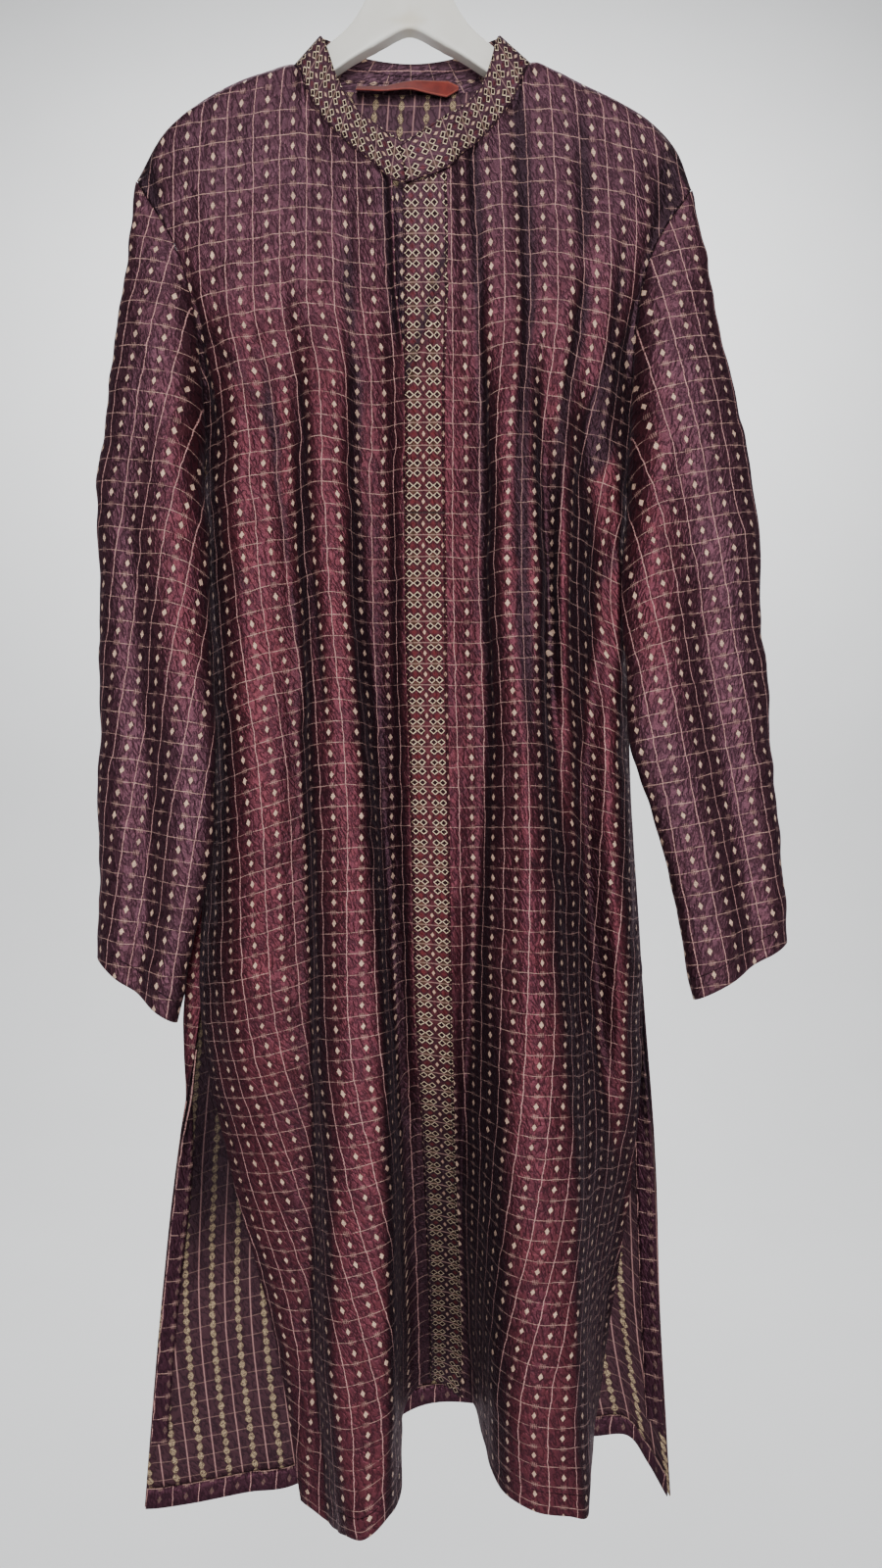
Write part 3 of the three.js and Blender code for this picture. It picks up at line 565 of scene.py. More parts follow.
class Graph:
    """A material's nodes, with short calls for sums on sockets."""

    def __init__(self, name):
        self.material = bpy.data.materials.new(name)
        self.material.use_nodes = True
        self.tree = self.material.node_tree
        self.shader = self.tree.nodes["Principled BSDF"]

    def node(self, kind, **inputs):
        made = self.tree.nodes.new(kind)
        for key, value in inputs.items():
            self.feed(made.inputs[key.replace("_", " ")], value)
        return made

    def feed(self, socket, value):
        if isinstance(value, bpy.types.NodeSocket):
            self.tree.links.new(value, socket)
        else:
            socket.default_value = value

    def math(self, operation, *values):
        made = self.tree.nodes.new("ShaderNodeMath")
        made.operation = operation
        for socket, value in zip(made.inputs, values):
            self.feed(socket, value)
        return made.outputs[0]

    def fold(self, operation, *values):
        return functools.reduce(functools.partial(self.math, operation), values)

    plus = functools.partialmethod(fold, "ADD")
    minus = functools.partialmethod(fold, "SUBTRACT")
    times = functools.partialmethod(fold, "MULTIPLY")
    over = functools.partialmethod(fold, "DIVIDE")
    most = functools.partialmethod(fold, "MAXIMUM")

    def size(self, value):
        return self.math("ABSOLUTE", value)

    def off(self, value, middle):
        """How far value is from middle."""
        return self.size(self.minus(value, middle))

    def diamond(self, dx, dy, half):
        """The distance from a diamond's middle, 1 on its edge."""
        return self.plus(self.over(dx, half[0]), self.over(dy, half[1]))

    def uv(self, layer):
        made = self.tree.nodes.new("ShaderNodeUVMap")
        made.uv_map = layer
        parts = self.node("ShaderNodeSeparateXYZ", Vector=made.outputs[0])
        return parts.outputs["X"], parts.outputs["Y"], made.outputs[0]

    def noise(self, vector, scale, detail=2.0, stretch=(1, 1, 1)):
        mapped = self.node("ShaderNodeMapping", Vector=vector, Scale=stretch)
        made = self.node("ShaderNodeTexNoise", Vector=mapped.outputs[0], Scale=scale, Detail=detail)
        return made.outputs["Fac"]

    def wander(self, vector, scale, reach):
        """A soft random shift, up to half of reach each way."""
        return self.times(self.minus(self.noise(vector, scale, 1.0), 0.5), reach)

    def mix(self, fac, a, b):
        made = self.tree.nodes.new("ShaderNodeMix")
        made.data_type = "RGBA"
        self.feed(made.inputs["Factor"], fac)
        self.feed(made.inputs["A"], a)
        self.feed(made.inputs["B"], b)
        return made.outputs["Result"]

    def coats(self, colour, *layers):
        """Lays colours over the first, each by its share."""
        for share, over in layers:
            colour = self.mix(share, colour, over)
        return colour

    def repeat(self, coordinate, period, shift=0.0):
        """The distance to the nearest cell centre, as a signed number of millimetres."""
        cell = self.plus(self.over(coordinate, period), shift / period)
        part = self.minus(self.math("FRACT", cell), 0.5)
        return self.times(part, period)

    def below(self, value, limit, soft=0.25):
        """1 where value is under limit, with a soft edge."""
        ends = {"From_Min": limit - soft, "From_Max": limit + soft, "To_Min": 1, "To_Max": 0}
        made = self.node("ShaderNodeMapRange", Value=value, **ends)
        made.interpolation_type = "SMOOTHSTEP"
        return made.outputs["Result"]

    def ribs(self, coordinate, period, half, soft):
        """1 on ribs this far apart and this thick, to half of it."""
        return self.below(self.size(self.repeat(coordinate, period)), half, soft)

    def surface(self, colour, roughness, height=None, distance=0.0, strength=1.0):
        """Feeds the shader, and gives its sockets."""
        sockets = self.shader.inputs
        self.feed(sockets["Base Color"], colour)
        if height is not None:
            made = self.node("ShaderNodeBump", Height=height, Distance=distance, Strength=strength)
            self.feed(sockets["Normal"], made.outputs["Normal"])
        sockets["Roughness"].default_value = roughness
        return sockets


def rgb(r, g, b):
    """An sRGB colour of 0 to 255 as Blender's linear one."""
    linear = [c / 255 / 12.92 if c < 10 else ((c / 255 + 0.055) / 1.055) ** 2.4 for c in (r, g, b)]
    return (*linear, 1)


# Noise on the cloth: scale, detail, and stretch across and down.
CRACKS = (0.14, 2.0, (1.5, 0.6, 1))
PUCKERS = (0.3, 2.0, (1.0, 0.7, 1))
GRAIN = (1.3, 1.0, (1.0, 0.8, 1))
STREAKS = (0.5, 2.0, (1.4, 0.18, 1))
CLOUDS = (0.045, 2.0, (1.0, 0.5, 1))
SLUBS = (0.45, 2.0)
GAPS = (0.11, 2.0, (1.0, 3.0, 1))
WORN = (0.09, 1.0)
FRAYED = (0.75, 2.0)
CRACK_LEAN = 0.35

# Half thicknesses of threads and their soft edges, and half sizes of figures, in millimetres.
WARP_HALF = (0.33, 0.14)
WEFT_HALF = (0.27, 0.13)
INSIDE_WARP_HALF = (0.5, 0.25)
INSIDE_WEFT_HALF = (0.35, 0.25)
BORDER_WEFT_HALF = (0.4, 0.25)
LOZENGE = (1.8, 3.3)
MARK = (2.0, 2.0)
RING_AT = (2.8, 4.0)
RING = (2.9, 3.2)
SMALL = (1.4, 2.7)
FAINT = (2.2, 2.4)
KNOT = (2.6, 2.4)
# Ribs: how far apart, half thickness and soft edge.
LOZENGE_RIBS = (1.35, 0.42, 0.2)
MARK_RIBS = (1.3, 0.36, 0.15)
BORDER_RIBS = (1.2, 0.4, 0.2)
RIBBON_RIBS = (0.9, 0.22, 0.15)
TWIST = (1.7, 0.5, 0.22)
STITCHES = (3.2, 1.15, 0.2)
STITCH_HALF = (0.35, 0.2)
SIDE_STITCH = 10
BORDER_STITCH = 1.6
SILK_RELIEF = 0.0012
BORDER_RELIEF = 0.0011

SILK_LIT = rgb(104, 54, 62)
SILK_MID = rgb(90, 48, 58)
# Painted shade in the crepe's cracks.
SILK_CRACK_SHADE = rgb(42, 26, 34)
# Painted shade where the form turns away, is shut in by folds or pressed in by creases.
SILK_PAINTED_SHADE = rgb(45, 34, 41)
# Painted grey sheen high up and over the sleeves.
SILK_PAINTED_SHEEN = rgb(87, 62, 73)
# A darker copy of the outer silk: painted shade on the collar's inner face and the placket underlap.
FACING_PAINTED_SHADE = rgb(46, 34, 45)
# A darker copy of the outer silk: painted shade on the turned edges inside the garment.
TURNED_BACK_SHADE = rgb(70, 42, 53)
INSIDE_LIT = rgb(72, 47, 54)
# Painted shade on the wrong side above the hem.
INSIDE_SHUT = rgb(24, 18, 24)
# Painted shade in the cracks of the wrong side and of the facing.
INSIDE_CRACK_SHADE = rgb(34, 22, 30)
WARP_PINK = rgb(212, 160, 154)
WEFT_BEIGE = rgb(184, 148, 136)
LOZENGE_CREAM = rgb(230, 194, 168)
MARK_DULL = rgb(160, 126, 116)
BROCADE_CREAM = rgb(240, 216, 180)
BROCADE_PINK = rgb(212, 172, 148)
BROCADE_RED = rgb(112, 44, 42)
BROCADE_OLIVE = rgb(74, 62, 42)
BROCADE_GROUND = rgb(76, 36, 42)
FLOAT_YELLOW = rgb(226, 198, 158)
THREAD_DARK = rgb(28, 12, 18)
RIBBON_RED = rgb(134, 44, 36)
RIBBON_DEEP = rgb(110, 34, 30)
RIBBON_LINE = rgb(196, 92, 64)
PAINT_WHITE = rgb(232, 230, 222)
PAINT_WORN = rgb(221, 217, 206)
PAINT_YELLOWED = rgb(196, 176, 132)
STEEL_BRIGHT = rgb(214, 215, 216)
STEEL_DULL = rgb(178, 179, 182)
FLOOR_DULL = rgb(219, 220, 221)
FLOOR_PALE = rgb(226, 227, 228)


def silk_finish(g, colour, height, yarn, roughness=0.5, glow=0.85, relief=SILK_RELIEF):
    """Shot silk glows where it faces the light and goes dark where it turns away. Thick yarns are dull."""
    shader = g.surface(colour, roughness, height, relief)
    g.feed(shader["Metallic"], g.times(g.minus(1.0, yarn), glow))
    shader["Specular Tint"].default_value = (0.35, 0.26, 0.3, 1)
    shader["Sheen Weight"].default_value = 0.05
    shader["Sheen Roughness"].default_value = 0.4
    shader["Sheen Tint"].default_value = rgb(200, 180, 200)


def crinkle(g, uv):
    """The crepe surface: fine cracks that run mostly down the cloth, soft puckers and a grain."""
    lean = g.node("ShaderNodeMapping", Vector=uv, Rotation=(0, 0, CRACK_LEAN)).outputs[0]
    ridges = g.off(g.noise(lean, *CRACKS), 0.5)
    cracks = g.math("MINIMUM", g.times(ridges, 9.0), 1.0)
    puckers, grain = g.noise(uv, *PUCKERS), g.noise(uv, *GRAIN)
    return cracks, g.plus(g.times(cracks, 0.3), g.times(puckers, 0.5), g.times(grain, 0.2))


def silk_ground(g, uv, cracks, lit, mid, deep):
    """Uneven dye in soft vertical streaks, painted shade in the cracks and where the form turns away, and
    painted grey sheen high up.
    """
    tone = g.times(g.plus(g.noise(uv, *STREAKS), g.noise(uv, *CLOUDS)), 0.5)
    turned, high, _ = g.uv("form")
    return g.coats(
        lit,
        (g.below(tone, 0.5, 0.12), mid),
        (g.times(high, 0.8), SILK_PAINTED_SHEEN),
        (g.times(g.below(cracks, 0.3, 0.28), 0.6), deep),
        (g.times(turned, 0.85), SILK_PAINTED_SHADE),
    )


def stitch(g, along, away, distance):
    """A row of dark stitches at a distance from an edge."""
    return g.times(g.below(g.off(away, distance), *STITCH_HALF), g.ribs(along, *STITCHES))


def threads_shade(g, loss=0.42):
    """Painted shade on the thick threads: they dull a little where the form turns away."""
    turned, _, _ = g.uv("form")
    return g.minus(1.0, g.times(turned, loss))


def silk(name, lit=SILK_LIT, mid=SILK_MID, deep=SILK_CRACK_SHADE, lozenges=1.0):
    """The outer face: the check, a lozenge in each cell and a small mark on each weft."""
    g = Graph(name)
    x, y, uv = g.uv("cloth")
    away, up, _ = g.uv("edge")
    shift = g.plus(g.wander(uv, 0.07, 2.6), g.wander(uv, 0.7, 0.9))
    dx = g.size(g.repeat(g.plus(x, shift), CELL_WIDE))
    dy = g.size(g.repeat(g.plus(y, shift), CELL_HIGH))
    from_warp = g.minus(CELL_WIDE / 2, dx)
    from_weft = g.minus(CELL_HIGH / 2, dy)
    warp = g.times(g.below(from_warp, *WARP_HALF), g.below(g.noise(uv, *SLUBS), 0.66, 0.2))
    weft = g.times(g.below(from_weft, *WEFT_HALF), g.below(g.noise(uv, *GAPS), 0.57, 0.16), 0.95)
    lozenge = g.times(g.below(g.diamond(dx, dy, LOZENGE), 1, 0.14), lozenges)
    mark = g.times(g.below(dx, MARK[0], 0.2), g.below(from_weft, MARK[1], 0.3), g.ribs(dx, *MARK_RIBS))
    woven = g.plus(0.62, g.times(g.ribs(y, *LOZENGE_RIBS), 0.38))
    worn = g.plus(0.3, g.times(g.noise(uv, *WORN), 1.1))
    stitches = g.most(stitch(g, x, up, HEM_TURN), stitch(g, y, away, SIDE_STITCH))
    cracks, height = crinkle(g, uv)
    bright = threads_shade(g)
    colour = g.coats(
        silk_ground(g, uv, cracks, lit, mid, deep),
        (g.times(warp, bright, 0.85), WARP_PINK),
        (g.times(weft, bright, 0.9), WEFT_BEIGE),
        (g.times(mark, bright, 0.6), MARK_DULL),
        (g.times(lozenge, woven, bright, worn), LOZENGE_CREAM),
        (g.times(stitches, 0.8), THREAD_DARK),
    )
    yarn = g.most(warp, g.times(weft, 0.9), lozenge, g.times(mark, 0.6))
    raised = g.times(g.most(lozenge, g.times(warp, 0.6)), 0.35)
    hem = g.times(g.below(up, HEM_TURN, 0.5), 0.4)
    height = g.minus(g.plus(height, raised, hem), g.times(stitches, 0.6))
    silk_finish(g, colour, height, yarn)
    return g.material


def silk_inside(name):
    """The wrong side: thick twisted cream floats in beaded columns, and the pink warps."""
    g = Graph(name)
    x, y, uv = g.uv("cloth")
    _, up, _ = g.uv("edge")
    dx = g.repeat(x, CELL_WIDE)
    beat = g.math("COSINE", g.times(y, 2 * math.pi / (CELL_HIGH / 2)))
    aside = g.size(g.plus(dx, g.wander(uv, 0.12, 3.0)))
    body = g.below(g.minus(aside, g.plus(1.75, g.times(beat, 0.75))), 0.0, 0.35)
    bead = g.below(g.times(beat, -1.0), 0.8, 0.4)
    frayed = g.below(g.noise(uv, *FRAYED), 0.58, 0.12)
    twist = g.ribs(g.plus(y, dx), *TWIST)
    floats = g.times(body, bead, frayed, g.plus(0.45, g.times(twist, 0.55)))
    warp = g.below(g.minus(CELL_WIDE / 2, g.size(dx)), *INSIDE_WARP_HALF)
    weft = g.below(g.minus(CELL_HIGH / 2, g.size(g.repeat(y, CELL_HIGH))), *INSIDE_WEFT_HALF)
    # Painted shade on the wrong side above the hem.
    shut = g.below(g.off(up, SHUT_UP[0]), *SHUT_UP[1:])
    cracks, height = crinkle(g, uv)
    colour = g.coats(
        silk_ground(g, uv, cracks, INSIDE_LIT, INSIDE_LIT, INSIDE_CRACK_SHADE),
        (g.times(warp, 0.5), WARP_PINK),
        (g.times(weft, 0.4), WEFT_BEIGE),
        (floats, FLOAT_YELLOW),
        (g.times(shut, 0.76), INSIDE_SHUT),
    )
    silk_finish(g, colour, g.plus(height, g.times(floats, 1.2)), g.most(body, warp), 0.6, 0.5)
    return g.material


def brocade(name):
    """Groups of four open diamonds round each weft, small lozenges between them, and edge stitching."""
    g = Graph(name)
    x, y, uv = g.uv("cloth")
    side, end, _ = g.uv("edge")
    shift = g.wander(uv, 0.6, 0.8)
    gx = g.size(g.repeat(g.plus(x, shift), GROUP_WIDE, 0.8))
    gy = g.size(g.repeat(g.plus(y, shift), CELL_HIGH, CELL_HIGH / 2))
    down = g.off(gy, CELL_HIGH / 2)
    rim = g.times(g.diamond(g.off(gx, RING_AT[0]), g.off(gy, RING_AT[1]), RING), 2.5)
    ring = g.below(g.off(rim, 2.1), 0.36, 0.16)
    hole = g.below(rim, 1.7, 0.2)
    small = g.below(g.diamond(g.off(gx, GROUP_WIDE / 2), down, SMALL), 1, 0.2)
    faint = g.below(g.diamond(gx, down, FAINT), 1, 0.3)
    knot = g.below(g.diamond(gx, gy, KNOT), 1, 0.3)
    weft = g.below(gy, *BORDER_WEFT_HALF)
    woven = g.plus(0.6, g.times(g.ribs(y, *BORDER_RIBS), 0.35))
    stitches = g.most(stitch(g, y, side, BORDER_STITCH), g.below(g.size(end), 0.7, 0.2))
    cracks, height = crinkle(g, uv)
    bright = threads_shade(g, 0.6)
    colour = g.coats(
        silk_ground(g, uv, cracks, BROCADE_GROUND, BROCADE_GROUND, SILK_CRACK_SHADE),
        (g.times(faint, 0.35), BROCADE_RED),
        (g.times(knot, 0.7), BROCADE_OLIVE),
        (g.times(weft, 0.5), WEFT_BEIGE),
        (g.times(hole, 0.85), THREAD_DARK),
        (g.times(small, woven, bright), BROCADE_PINK),
        (g.times(ring, bright), BROCADE_CREAM),
        (g.times(stitches, 0.85), THREAD_DARK),
    )
    height = g.minus(g.plus(height, g.times(g.most(ring, small), 0.7)), g.times(stitches, 0.7))
    silk_finish(g, colour, height, g.most(ring, small, weft), 0.55, 0.7, BORDER_RELIEF)
    return g.material


def object_place(g):
    return g.node("ShaderNodeTexCoord").outputs["Object"]


def ribbon(name):
    """A dull satin ribbon: fine ribs and a paler line along each edge."""
    g = Graph(name)
    x, _, uv = g.uv("cloth")
    away, _, _ = g.uv("edge")
    line = g.times(g.below(g.off(away, 1.2), 0.3, 0.2), 0.5)
    colour = g.coats(RIBBON_RED, (g.below(g.noise(uv, 0.12), 0.5, 0.2), RIBBON_DEEP), (line, RIBBON_LINE))
    g.surface(colour, 0.5, g.ribs(x, *RIBBON_RIBS), 0.0004, 0.6)
    g.shader.inputs["Sheen Weight"].default_value = 0.2
    return g.material


def white_paint(name):
    """Brushed satin paint over wood, a little yellowed above the fork."""
    g = Graph(name)
    place = object_place(g)
    brush = g.noise(place, 130, 3.0, (0.25, 1, 1))
    wear = g.noise(place, 40, 3.0)
    parts = g.node("ShaderNodeSeparateXYZ", Vector=place).outputs
    from_fork = g.diamond(g.size(parts["X"]), g.size(g.plus(parts["Z"], 0.112)), (0.016, 0.011))
    stain = g.below(g.plus(from_fork, wear), 1.3, 0.6)
    worn = g.times(g.below(wear, 0.5, 0.25), 0.5)
    colour = g.coats(PAINT_WHITE, (worn, PAINT_WORN), (g.times(stain, 0.3), PAINT_YELLOWED))
    g.surface(colour, 0.38, brush, 0.0003, 0.4)
    return g.material


def steel_wire(name):
    """Bright drawn wire with fine streaks."""
    g = Graph(name)
    streaks = g.noise(object_place(g), 900, 2.0, (1, 0.2, 0.2))
    g.surface(g.mix(g.below(streaks, 0.5, 0.3), STEEL_BRIGHT, STEEL_DULL), 0.24, streaks, 0.0001, 0.4)
    g.shader.inputs["Metallic"].default_value = 1.0
    return g.material


def pale_floor(name):
    g = Graph(name)
    g.surface(g.mix(g.noise(object_place(g), 3.0, 4.0), FLOOR_DULL, FLOOR_PALE), 0.9)
    return g.material


# Pieces.

# A distance that means no edge is near, the step of sums over the weave, and seeds.
FAR = 500.0
FINE_STEP = 2.0
FRONT_SEED = {-1: 11, 1: 12}
BACK_SEED = 31
SLEEVE_SEEDS = (51, 61)
# The relief dies away this near to a top edge, a side edge, the back's hem and an armhole.
TOP_CALM = 6
EDGE_CALM = 5
HEM_CALM = 40
ARMHOLE_CALM = 8
# Waves of relief: how many, their lengths, lean and height. The sleeves' are drawn on a tube of this radius.
PUCKER_WAVES = (9, (26, 60), 0.9, 0.35)
BROAD_WAVES = (9, (90, 220), 0.6, 0.6)
SHORT_WAVES = (7, (16, 36), 0.35, 0.28)
SLEEVE_PUCKERS = (9, (26, 60), 0.7, 0.4)
SLEEVE_WAVES = (7, (70, 160), 0.5, 0.7)
ARM_RADIUS = 40


def weft_lengths(grid, v, off_peak):
    """How far down from the yoke each point lies, in the weave's millimetres.

    off_peak is 0 where the hanger holds the cloth highest, -1 at a side edge and 1 at the centre.
    """
    below = below_yoke(grid, v)
    rows, to_side, to_centre = np.array(WEFT_SAG, float).T
    sags = [np.interp(v, rows, sag)[:, None] for sag in (to_side, to_centre)]
    below = below + (HEM_LENGTH - below[-1:]) * smooth(LEVEL_ROW, LAST_ROW, v)[:, None]
    below = below - np.where(off_peak < 0, *sags) * smooth(0, 1, abs(off_peak))
    places, spacing = np.array(WEFT_SPACING, float).T
    fine = np.arange(places[0], places[-1], FINE_STEP)
    woven = np.cumsum(FINE_STEP * CELL_HIGH / np.interp(fine, places, spacing))
    return np.interp(below, fine, woven - np.interp(0, fine, woven)) + WEFT_PHASE


def front_wefts(grid, u, v):
    return weft_lengths(grid, v, between(FRONT_OFF_PEAK, u))


def below_yoke(grid, v):
    down = steps_between(grid, 0)
    return down - down[np.argmin(abs(v - YOKE_ROW))]


def front_piece(name, side, materials):
    """One front: side -1 is the viewer's left. Its fabric coordinates start at the centre line."""
    v = rows_of(0, LAST_ROW, FRONT_ROWS)
    if side < 0:
        u = (CENTRE - opening_width(v))[:, None] * np.linspace(0, 1, FRONT_COLUMNS[side])
    else:
        u = lines_of(CENTRE, FRONT_LAST, FRONT_COLUMNS[side], v)
    grid = front(u, v)
    across = level_steps(grid)
    from_centre = across[:, -1:] - across if side < 0 else across
    from_side = across if side < 0 else across[:, -1:] - across
    down, below = steps_between(grid, 0), below_yoke(grid, v)
    uv = layer(side * from_centre + WARP_PHASE[side], front_wefts(grid, u, v))
    edge = layer(np.where(v[:, None] > SLIT_ROW, from_side, FAR), down[-1:] - down)
    folds = creases(from_centre, below, FRONT_CREASES[side])
    # Painted shade where the front turns away, is shut in by folds or pressed in by creases.
    form = front_painted_light(grid, u, v, -folds)
    relief = fine_relief(from_centre, below, FRONT_SEED[side]) + folds
    relief *= calm((down, TOP_CALM), (to_edge(across, 1), EDGE_CALM))
    grid = grid - normals_of(grid) * relief[..., None]
    return build_mesh(name, grid, uv, edge, materials, form)


def fine_relief(x, y, seed):
    """Puckers a few centimetres long, broad waves, and short wrinkles across the cloth."""
    puckers = ripple(x, y, seed, *PUCKER_WAVES)
    broad = ripple(x, y, seed + 100, *BROAD_WAVES)
    return puckers + broad + ripple(y, x, seed + 200, *SHORT_WAVES)


# Creases, in fabric millimetres from the centre line and from the yoke down.
FRONT_CREASES = {
    -1: [
        (150, -60, 95, 60, 9, 1.6), (175, 10, 120, 110, 8, -1.4), (205, 60, 150, 190, 10, 1.5),
        (60, -40, 40, 60, 8, 1.0), (215, 160, 150, 240, 10, -1.5), (40, 210, 120, 240, 9, 1.0),
        (180, 330, 90, 360, 10, 1.2), (60, 430, 150, 455, 9, -1.1), (200, 520, 120, 560, 10, 1.2),
        (196, -70, 168, 110, 12, -3.6), (40, 30, 46, 290, 8, -2.6), (88, 80, 84, 300, 5, -2.0),
        (113, 100, 108, 300, 5, -1.8), (7, -70, 5, 40, 5, -2.6),
    ],
    1: [
        (170, -60, 110, 50, 9, 1.6), (200, 20, 150, 120, 9, -1.4), (230, 70, 170, 190, 10, 1.5),
        (70, -30, 60, 70, 8, 1.0), (240, 160, 180, 250, 10, -1.4), (60, 230, 130, 250, 9, 1.0),
        (210, 340, 130, 365, 10, 1.2), (90, 450, 170, 470, 9, -1.1), (230, 540, 160, 575, 10, 1.2),
        (205, -64, 176, 120, 12, -3.6), (55, -50, 61, 290, 6, -2.9), (92, -80, 97, 290, 7, -3.0),
        (138, -50, 126, 300, 7, -2.7), (164, 30, 150, 260, 6, -2.0),
    ],
}
# The same down the border, in millimetres from its left edge and from the neck.
BORDER_CREASES = [
    (31, 62, 1, 142, 4, -2.6), (33, 72, 6, 146, 4, 1.6), (2, 250, 26, 262, 4, -1.2),
]


def border_piece(materials):
    """The brocade border. Its edge layer runs down from the stitching that ends the placket."""
    v = rows_of(BORDER_TOP, LAST_ROW, FRONT_ROWS)
    u = CENTRE + lines_of(*BORDER_LINES, BORDER_COLUMNS, v)
    grid = front(u, v)
    across, down = steps_between(grid, 1), steps_between(grid, 0)
    uv = layer(across, front_wefts(grid, u, v))
    placket = down[np.argmin(abs(grid[:, BORDER_COLUMNS // 2, 2] - PLACKET_END))]
    edge = layer(to_edge(across, 1), down - placket)
    folds = creases(across, down, BORDER_CREASES)
    # Painted shade where the border turns away, is shut in by folds or pressed in by creases.
    form = front_painted_light(grid, u, v, -folds)
    grid = grid - normals_of(grid) * np.maximum(folds, 0)[..., None]
    return build_mesh("front_border_cloth", grid, uv, edge, materials, form, lift=BORDER_OFF)


def underlap_piece(materials):
    v = rows_of(*UNDERLAP_ROWS, UNDERLAP_SHAPE[0])
    u = CENTRE + lines_of(*UNDERLAP_LINES, UNDERLAP_SHAPE[1], v)
    grid = front(u, v)
    uv = layer(steps_between(grid, 1), front_wefts(grid, u, v))
    return build_mesh("placket_underlap_cloth", grid, uv, no_edge(uv), materials, lift=-UNDERLAP_OFF)


def no_edge(uv):
    return np.full_like(uv, FAR)


def back_piece(materials):
    v = rows_of(0, LAST_ROW, BACK_SHAPE[0])
    u = lines_of(0, BACK_LAST, BACK_SHAPE[1], v)
    grid = back(u, v)
    # Painted shade where the back turns away, and painted grey sheen high up.
    form = painted_light_layer(grid)
    across, down = level_steps(grid), steps_between(grid, 0)
    middle = BACK_SHAPE[1] // 2
    uv = layer(across - across[:, middle : middle + 1], weft_lengths(grid, v, between(BACK_OFF_PEAK, u)))
    aside, up = to_edge(across, 1), down[-1:] - down
    edge = layer(np.where(v[:, None] > SLIT_ROW, aside, FAR), up)
    relief = fine_relief(uv[..., 0], down, BACK_SEED)
    relief *= calm((down, TOP_CALM), (aside, EDGE_CALM), (up, HEM_CALM))
    grid = grid + normals_of(grid) * relief[..., None]
    return build_mesh("back_cloth", grid, uv, edge, materials, form, outward=1)


def turned_edge(name, grid, materials):
    uv = layer(steps_between(grid, 1), steps_between(grid, 0))
    return build_mesh(name, grid, uv, no_edge(uv), materials, lift=TURNED_OFF)


def back_hem_turn(materials):
    u = np.linspace(0.04, BACK_LAST - 0.04, HEM_TURN_COLUMNS)
    above, hem = back(np.stack([u, u]), np.array([LAST_ROW - 1.0, LAST_ROW]))
    turn = HEM_TURN / np.linalg.norm(hem - above, axis=1)
    rows = [
        [point_on(back, line, row) for line, row in zip(u, LAST_ROW - share * turn)]
        for share in (1, 0.66, 0.33, 0.02)
    ]
    return turned_edge("back_hem_turn_cloth", np.array(rows), materials)


def back_slit_turn(side, start, end, materials):
    v = rows_of(*SLIT_TURN_ROWS, SLIT_TURN_SHAPE[0])
    grid = back(lines_of(start, end, SLIT_TURN_SHAPE[1], v), v)
    return turned_edge(f"back_slit_turn_{side}_cloth", grid, materials)


# The last row and the number of points at which an armhole's edge is sought.
ARMHOLE_END = 3.2
ARMHOLE_POINTS = 900
# A sleeve's start stands off the panels' edges by this, and to the side by this, twice where it bends. It
# sags this much under the arm, and is a plain tube from this ring on.
ARMHOLE_GAP = 0.1
SIDE_GAP = 0.4
UNDERARM_SAG = 1.2
PLAIN_RING = 2.2
SLEEVE_FOLD_WIDE = 0.17


def armhole_edge(surface, u, inward, z):
    """A point of an armhole edge at each height, and the way off the panel there."""
    v = np.linspace(0, ARMHOLE_END, ARMHOLE_POINTS)
    edge = surface(np.full((len(v), 1), float(u)), v)[:, 0]
    near = surface(np.full((len(v), 1), u + inward * 0.1), v)[:, 0]
    order = np.argsort(edge[:, 2])
    heights = edge[order, 2]
    point, inner = (
        np.stack([np.interp(z, heights, line[order, k]) for k in range(3)], 1) for line in (edge, near)
    )
    off = point - inner
    return point, off / np.linalg.norm(off, axis=1, keepdims=True)


def sleeve_grid(rings, side, around, rows):
    outer, inner, before, behind, folds = (np.array(column, float) for column in zip(*rings))
    outer, inner = outer[:, [0, 2, 1]], inner[:, [0, 2, 1]]
    depths = np.stack([before, behind], 1)
    phi = np.roll(circle(around), around // 2)
    share = (1 - np.cos(phi)) / 2

    def plain_tube(t):
        a, b = spline(outer, t)[:, None], spline(inner, t)[:, None]
        points = a + (b - a) * share[None, :, None]
        depth, fold = spline(depths, t), spline(folds, t)
        ahead = np.sin(phi)[None] > 0
        bulge = np.where(ahead, -depth[:, :1], -depth[:, 1:]) * np.sin(phi)[None]
        dent = fold[:, 1:] * np.exp(-(((share[None] - fold[:, :1]) / SLEEVE_FOLD_WIDE) ** 2))
        points[..., 1] += bulge + np.where(ahead, dent, 0)
        return points

    z = outer[0, 2] + (inner[0, 2] - outer[0, 2]) * share
    last = (0, 0) if side < 0 else (FRONT_LAST, BACK_LAST)
    on_front, off_front = armhole_edge(front, last[0], -side, z)
    on_back, off_back = armhole_edge(back, last[1], -side, z)
    ahead = (np.sin(phi) >= 0)[:, None]
    start = np.where(ahead, on_front, on_back) + ARMHOLE_GAP * np.where(ahead, off_front, off_back)
    bend = abs(np.cos(phi)) ** 6
    start[:, 0] += side * SIDE_GAP * (1 + bend)
    start[:, 2] -= UNDERARM_SAG * bend * (share > 0.5)
    t = np.linspace(0, len(rings) - 1, rows)
    fade = (1 - smooth(0, PLAIN_RING, t))[:, None, None]
    return plain_tube(t) + (start - plain_tube(np.array([0.0]))[0])[None] * fade


